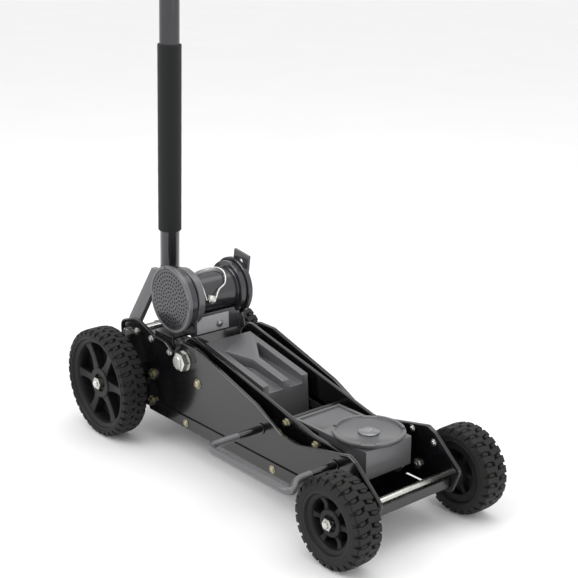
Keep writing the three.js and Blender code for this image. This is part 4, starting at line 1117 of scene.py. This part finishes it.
class FLOORJACK_OT_handle(bpy.types.Operator):
    """Yoke, handle tube, foam sleeve and end grip"""
    bl_idname = "floorjack.handle"
    bl_label = "Handle"

    def execute(self, context):
        base = handle_matrix()
        shape_piece("handle_yoke_welded", moved(yoke_shape(), base), "yoke", "metallic_grey", ["handle_yoke"])
        tube_axis = base @ shift(x=TUBE_AHEAD)
        radius, wall, foot = 18.0, 2.5, 64
        tube_top = along_handle(local(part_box("handle_tube")[1]).z) - 0.6
        tube = turned(chamfered(radius, foot, tube_top, 0.5, radius - wall), 96)
        shape_piece("handle_tube_drawn", moved(tube, tube_axis), "handle", "dark_grey", ["handle_tube"])
        grip_low, grip_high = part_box("foam_sleeve")
        low, high = along_handle(local(grip_low).z) + 1.1, along_handle(local(grip_high).z) - 1.1
        foam = turned(sleeve_profile(radius, low, high), 96)
        sleeve = shape_piece("foam_sleeve_cut", moved(foam, tube_axis), "handle", "foam", ["foam_sleeve"])
        end = along_handle(local(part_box("handle_end_grip")[1]).z) - 0.9
        grip = turned(end_grip_profile(radius, tube_top, end), 96)
        shape_piece("handle_end_grip_ribbed", moved(grip, tube_axis), "handle", "foam",
                    ["handle_end_grip"], finish="composite")
        return {"FINISHED"}


# ---- Stored saddle extension ----------------------------------------------------------------
def pad_places(reach, pitch):
    """Places in rings a pitch apart, for a drilled pad."""
    places = [Vector((0, 0, 0))]
    for ring in range(1, int(reach / pitch) + 1):
        count = 6 * ring
        places += [Vector((ring * pitch * math.cos(2 * math.pi * k / count + 0.35 * ring),
                           ring * pitch * math.sin(2 * math.pi * k / count + 0.35 * ring), 0))
                   for k in range(count)]
    return places


class FLOORJACK_OT_extension(bpy.types.Operator):
    """Stored saddle extension: pad, body, post with its keyhole lug, and the block under it"""
    bl_idname = "floorjack.extension"
    bl_label = "Stored Extension"

    def execute(self, context):
        sizes = context.scene.floor_jack_sizes
        pad_low, pad_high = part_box("extension_saddle")
        near, pad_back = local(pad_low).y, local(pad_high).y
        radius = (pad_high.x - pad_low.x) / 2 / MM
        axis = shift(STORED.x, 0, STORED.z) @ TO_Y
        flat = turned([(0, near + 4.4), (radius - 5.6, near + 4.4), (radius - 5.6, near + 2.0),
                       (radius - 4.8, near + 1.3), (radius - 1.2, near + 1.3), (radius, near + 2.4),
                       (radius, pad_back - 0.6), (radius - 0.6, pad_back), (0, pad_back)], 128)
        shape_piece("extension_saddle_cast", moved(flat, axis), "frame", "dark_grey", ["extension_saddle"],
                    finish="metallic_grey")
        section = [(radius - 5.4, near + 1.6), (radius - 5.2, near + 0.4), (radius - 4.6, near),
                   (radius - 1.6, near), (radius - 0.7, near + 0.5), (radius - 0.4, near + 1.6)]
        lands = arc_of(section, 72, 18, turn=0.7)
        rim = ringed("extension_rim_lands", lands, RIM_LANDS, axis, "metallic_grey")
        place_piece("extension_rim_lands", rim, "frame", "dark_grey", finish="metallic_grey")
        # The drills stand half in the pad's front face, so a hole is half as deep as a drill is long.
        pad_radius, pad_height, drill_length, pad_margin = radius - 5.8, 3.4, 5.6, 4
        base = bpy.data.meshes.new("pad_places")
        base.from_pydata([(p + Vector((0, 0, -pad_height / 2))) * MM
                          for p in pad_places(pad_radius - pad_margin, sizes.dimple_pitch)], [], [])
        pad = grown(TREES["pad"], base, {
            "Pad Radius": pad_radius * MM, "Pad Height": pad_height * MM, "Hole Radius": sizes.dimple * MM,
            "Hole Depth": drill_length * MM, "Finish": FINISH["dark_grey"]})
        pad.transform(frame_matrix(axis @ shift(z=near + 1.2 + pad_height / 2)))
        place_piece("extension_pad_drilled", pad, "frame", "dark_grey")

        far = local(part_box("extension_body")[1]).y
        tube, hollow, hollow_end = 38, 32.3, -41
        body = turned([(0, near + 8), (57.2, near + 8), (58, near + 8.8), (58, near + 19.2),
                       (57.2, near + 20), (46, near + 20), (46, -48), (tube, -48), (tube, far - 13.4),
                       (39.4, far - 12), (47, far - 12), (48, far - 11), (48, far - 1), (47, far),
                       (hollow, far), (hollow, hollow_end), (0, hollow_end)], 128)
        shape_piece("extension_body_turned", moved(body, axis), "frame", "dark_grey", ["extension_body"])
        collar = turned([(38.2, -54.8), (50.8, -54.8), (52, -53.6), (52, -42.4), (50.8, -41.2),
                         (38.2, -41.2)], 128)
        shape_piece("extension_collar_turned", moved(collar, axis), "frame", "dark_grey",
                    finish="metallic_grey")

        flange_thick = 9.7
        flange_far = local(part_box("storage_post")[1]).y - 4
        flange_near = flange_far - flange_thick
        post = turned([(0, -40), (31, -40), (32, -39), (32, flange_near), (51.5, flange_near),
                       (53, flange_near + 1.5), (53, flange_far - 1.5), (51.5, flange_far),
                       (0, flange_far)], 128)
        lug = keyhole_plate(21, 80, -17.7, 6.0, 2.5, 12.0, 5.0)
        leaning = Matrix.Rotation(math.radians(-9), 4, "Z")
        foot_half, foot_low = 24, 209
        foot_outline = [Vector(p) for p in (
            (STORED.x - foot_half, foot_low), (STORED.x + foot_half, foot_low),
            (STORED.x + foot_half, STORED.z), (STORED.x - foot_half, STORED.z))]
        foot = edged_plate(foot_outline, lambda p: bar_section(flange_thick, 1.0))
        shape_piece("storage_post_welded", together(
            moved(post, axis),
            moved(lug, shift(STORED.x + 20, flange_far - 1, STORED.z + 65) @ UPRIGHT @ leaning),
            moved(foot, shift(y=flange_near) @ UPRIGHT)), "frame", "dark_grey", ["storage_post"])
        softened("storage_block", "storage_block_milled", "frame", "dark_grey", 1.2)
        # The plate takes the paler grey coat, part of whose lightness is painted light.
        softened("storage_block_plate", "storage_block_plate_milled", "frame", "metallic_grey", 0.5,
                 "light_grey")
        fastened("storage_block_screw", dome_screw(5.2, 3.4), [((STORED.x + 30.6, 4, 224), (1, 0, 0))],
                 "frame", "zinc", "steel")
        return {"FINISHED"}


def keyhole_plate(half, tall, hole_at, radius, slot, drop, thick):
    """A plate hanging down from the local X axis with a keyhole in it: a round hole over a narrower slot.
    Each face is two panels, right and left of a seam through the keyhole's top and bottom."""
    start = math.asin(slot / radius)
    count = 24
    turns = [-math.pi / 2 + start + (2 * math.pi - 2 * start) * k / count for k in range(count + 1)]
    hole = [(slot, hole_at - drop), *[(radius * math.cos(a), hole_at + radius * math.sin(a)) for a in turns],
            (-slot, hole_at - drop)]
    edge = [(0, -tall), (half, -tall), (half, 0), (-half, 0), (-half, -tall)]
    n, m = len(hole), len(edge)
    crown = max(range(n), key=lambda i: Vector(hole[i]).y)
    seam_top, seam_low = (hole[crown][0], 0), (0, hole_at - drop)
    corners = [Vector((*p, height)) for part in (hole, edge, [seam_top], [seam_low])
               for height in (0.0, thick) for p in part]
    edge_low, edge_high, top_at, low_at = 2 * n, 2 * n + m, 2 * (n + m), 2 * (n + m) + 2
    faces = []
    for level in (0, 1):
        hole_from, edge_from = level * n, edge_low + level * m
        faces.append((edge_from, edge_from + 1, edge_from + 2, top_at + level,
                      *[hole_from + i for i in range(crown, -1, -1)], low_at + level))
        faces.append((top_at + level, edge_from + 3, edge_from + 4, edge_from, low_at + level,
                      *[hole_from + i for i in range(n - 1, crown - 1, -1)]))
    faces += [(edge_low + a, edge_low + b, edge_high + b, edge_high + a)
              for a, b in ((0, 1), (1, 2), (3, 4), (4, 0))]
    faces += [(edge_low + 2, top_at, top_at + 1, edge_high + 2),
              (top_at, edge_low + 3, edge_high + 3, top_at + 1)]
    faces += [(i, i + 1, n + i + 1, n + i) for i in range(n - 1)]
    faces += [(n - 1, low_at, low_at + 1, 2 * n - 1), (low_at, 0, n, low_at + 1)]
    return corners, faces


# ---- Locking pin ----------------------------------------------------------------------------
class FLOORJACK_OT_lock_pin(bpy.types.Operator):
    """Locking pin and the wire bail that snaps over the tube"""
    bl_idname = "floorjack.lock_pin"
    bl_label = "Locking Pin"

    def execute(self, context):
        low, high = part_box("lock_pin")
        tail, tip = local(low).x, local(high).x
        at = local(middle("lock_pin"))
        pin = turned([(0, tail), (4.5, tail), (6, tail + 2), (6, tip - 11.7), (7.2, tip - 11.7),
                      (8, tip - 10.9), (8, tip - 2.4), (7.2, tip - 0.9), (5.4, tip), (0, tip)], 64)
        shape_piece("lock_pin_turned", moved(pin, shift(0, at.y, at.z) @ TO_X), "locking_pin", "zinc",
                    ["lock_pin"])
        # The wire's path over the tube: degrees round the tube from its top, and mm along it from the pin.
        arch, head, aside, wire = 43.0, STORED.x + 39, 9.9, 1.55
        over = ((72, 20), (60, 36), (40, 44), (21, 45), (5, 37), (3, 14), (14, -10), (36, -12.6), (62, -12.3))
        knots = [(STORED.x + arch * math.sin(a), at.y + y, STORED.z + arch * math.cos(a))
                 for a, y in ((math.radians(degrees), y) for degrees, y in over)]
        knots = [(head + 6, at.y + aside, STORED.z), *knots, (head + 6, at.y - aside, STORED.z)]
        shape_piece("pin_bail_wire", swept(through(knots, 12), wire, 12), "bail", "zinc", ["pin_bail"])
        return {"FINISHED"}


def through(knots, steps):
    """A smooth path through places."""
    points = [Vector(k) for k in knots]
    path = []
    for i in range(len(points) - 1):
        a, b = points[max(i - 1, 0)], points[i]
        c, d = points[i + 1], points[min(i + 2, len(points) - 1)]
        for k in range(steps):
            t = k / steps
            path.append(0.5 * (2 * b + (c - a) * t + (2 * a - 5 * b + 4 * c - d) * t ** 2
                               + (3 * b - a - 3 * c + d) * t ** 3))
    path.append(points[-1])
    return path


# ---- Side carrying loop ---------------------------------------------------------------------
def bent(corners, height):
    """A level path along (x, y, bend) corners, each bend a smooth curve from one straight to the next."""
    path, steps = [], 12
    for i, (x, y, bend) in enumerate(corners):
        here = Vector((x, y, height))
        if not bend:
            path.append(here)
            continue
        start, finish = (here + (Vector((*corners[k][:2], height)) - here).normalized() * bend
                         for k in (i - 1, i + 1))
        path += [start * (1 - t) ** 2 + here * 2 * t * (1 - t) + finish * t ** 2
                 for t in (k / steps for k in range(steps + 1))]
    return path


class FLOORJACK_OT_side_loop(bpy.types.Operator):
    """Side carrying loop: a bent bar in two coated stubs"""
    bl_idname = "floorjack.side_loop"
    bl_label = "Side Loop"

    def execute(self, context):
        low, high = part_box("side_handle")
        lowest, highest = local(low), local(high)
        radius = (highest.z - lowest.z) / 2
        height = (highest.z + lowest.z) / 2
        reach, end = lowest.y + radius, highest.y
        rear, front = (local(middle(f"side_handle_stub_{word}")).x for word in ("rear", "front"))
        wheel_face = local(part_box("front_tyre_right")[0]).y
        bend, bulge, turn_in = 26, 33, 15.6
        path = bent([(rear, end, 0), (rear, reach, bend), (front + bulge, reach, bend),
                     (front, wheel_face + 0.5, turn_in), (front, end, 0)], height)
        shape_piece("side_handle_bent", swept(path, radius, 32), "frame", "metallic_grey", ["side_handle"])
        for word in ("rear", "front"):
            node = f"side_handle_stub_{word}"
            at = local(middle(node))
            a, b = local(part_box(node)[0]).y, local(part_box(node)[1]).y
            socket, weld, nut = 6, 9.5, 10
            stub = together(turned(chamfered(socket, a, -WEB_OUTER + 6, 0.8), 48),
                            turned(chamfered(weld, -WEB_OUTER - 2.4, -WEB_OUTER + CLEARANCE, 1.0), 48),
                            turned(chamfered(nut, -WEB_OUTER + 4 + CLEARANCE, b, 0.8), 48))
            shape_piece(f"{node}_coated", moved(stub, shift(at.x, 0, at.z) @ TO_Y), "frame", "gloss_black",
                        [node])
        return {"FINISHED"}


# ---- What stays as the CAD made it ----------------------------------------------------------
class FLOORJACK_OT_works(bpy.types.Operator):
    """Hydraulic unit, links and rods: CAD pieces with their real finishes"""
    bl_idname = "floorjack.works"
    bl_label = "Hydraulic Works"

    def execute(self, context):
        slots = {s["node"]: s["material_slot"] for s in frame["record"]["subparts"]}
        for node, piece in frame["nodes"].items():
            piece.data.materials.clear()
            piece.data.materials.append(FINISH[slots[node]])
        rod = local(middle("rear_cross_rod"))
        low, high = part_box("rear_cross_rod")
        radius = (high.z - low.z) / 2 / MM
        half = local(high).y
        shape_piece("rear_cross_rod_turned", moved(turned(chamfered(radius, -half, half, 0.8), 64),
                                                   shift(rod.x, 0, rod.z) @ TO_Y),
                    "frame", "zinc", ["rear_cross_rod"])
        return {"FINISHED"}


# ---- Stage ----------------------------------------------------------------------------------
CAMERA_AT = ORIGIN + Vector((1497.15, -1217.15, 930.1)) * MM
CAMERA_RIGHT = Vector((0.64127, 0.76732, 0.0))
CAMERA_UP = Vector((-0.22888, 0.19128, 0.95448))
CAMERA_BACK = Vector((0.73239, -0.61207, 0.29829))


def soft_light(name, place, aim, size_m, watts):
    """A soft box in metres that faces its aim."""
    data = bpy.data.lights.new(name, "AREA")
    data.shape = "RECTANGLE"
    data.size, data.size_y = size_m
    data.energy = watts
    light = bpy.data.objects.new(name, data)
    light.location = place
    light.rotation_euler = (Vector(aim) - Vector(place)).to_track_quat("-Z", "Y").to_euler()
    bpy.context.scene.collection.objects.link(light)


class FLOORJACK_OT_stage(bpy.types.Operator):
    """Pale floor, soft light and the camera"""
    bl_idname = "floorjack.stage"
    bl_label = "Stage"

    def execute(self, context):
        scene = context.scene
        scene.view_settings.view_transform = "Standard"
        reach = 12  # metres from the middle of the floor to its edges
        mesh = bpy.data.meshes.new("floor")
        mesh.from_pydata([(-reach, -reach, 0), (reach, -reach, 0), (reach, reach, 0), (-reach, reach, 0)],
                         [], [(0, 1, 2, 3)])
        mesh.materials.append(studio_paint(scene.floor_jack_colours))
        floor = bpy.data.objects.new("floor", mesh)
        scene.collection.objects.link(floor)

        world = bpy.data.worlds.new("studio")
        world.use_nodes = True
        background = world.node_tree.nodes["Background"]
        background.inputs["Color"].default_value = (1, 1, 1, 1)
        background.inputs["Strength"].default_value = 1.0
        scene.world = world
        soft_light("key", (-0.6, -2.2, 2.6), (0, 0, 0.1), (2.0, 1.4), 30)
        soft_light("top", (0.4, 0.6, 3.0), (0, 0, 0), (2.4, 2.4), 24)
        soft_light("front", (2.8, 0.4, 1.4), (0.1, 0, 0.2), (1.4, 1.4), 10)

        camera_data = bpy.data.cameras.new("camera")
        camera_data.sensor_width = 36.0
        camera_data.lens = 75.14
        camera_data.clip_end = 100.0
        camera = bpy.data.objects.new("camera", camera_data)
        turn = Matrix((CAMERA_RIGHT, CAMERA_UP, CAMERA_BACK)).transposed().to_4x4()
        camera.matrix_world = Matrix.Translation(CAMERA_AT) @ turn
        scene.collection.objects.link(camera)
        scene.camera = camera
        return {"FINISHED"}


OPERATORS = (
    FLOORJACK_OT_works, FLOORJACK_OT_side_plates, FLOORJACK_OT_axles, FLOORJACK_OT_wheels,
    FLOORJACK_OT_lift_arm, FLOORJACK_OT_saddle, FLOORJACK_OT_cover, FLOORJACK_OT_handle,
    FLOORJACK_OT_extension, FLOORJACK_OT_lock_pin, FLOORJACK_OT_side_loop, FLOORJACK_OT_fasteners,
    FLOORJACK_OT_stage,
)


class FLOORJACK_PT_panel(bpy.types.Panel):
    """Sizes, colours and steps of the floor jack"""
    bl_idname = "FLOORJACK_PT_panel"
    bl_label = "Floor Jack"
    bl_space_type = "VIEW_3D"
    bl_region_type = "UI"
    bl_category = "Floor Jack"

    def draw(self, context):
        for group in (context.scene.floor_jack_sizes, context.scene.floor_jack_colours):
            box = self.layout.box()
            for name in group.__annotations__:
                box.prop(group, name)
        for operator in OPERATORS:
            self.layout.operator(operator.bl_idname)


CLASSES = (FloorJackSizes, FloorJackColours, *OPERATORS, FLOORJACK_PT_panel)


def register():
    for kind in CLASSES:
        bpy.utils.register_class(kind)
    bpy.types.Scene.floor_jack_sizes = bpy.props.PointerProperty(type=FloorJackSizes)
    bpy.types.Scene.floor_jack_colours = bpy.props.PointerProperty(type=FloorJackColours)


def unregister():
    del bpy.types.Scene.floor_jack_colours
    del bpy.types.Scene.floor_jack_sizes
    for kind in reversed(CLASSES):
        bpy.utils.unregister_class(kind)


def main():
    register()
    make_finishes(bpy.context.scene.floor_jack_colours)
    TREES.update(ring=ring_tree(), fastener=fastener_tree(), pad=pad_tree())
    for operator in OPERATORS:
        group, name = operator.bl_idname.split(".")
        getattr(getattr(bpy.ops, group), name)()


if __name__ == "__main__":
    main()
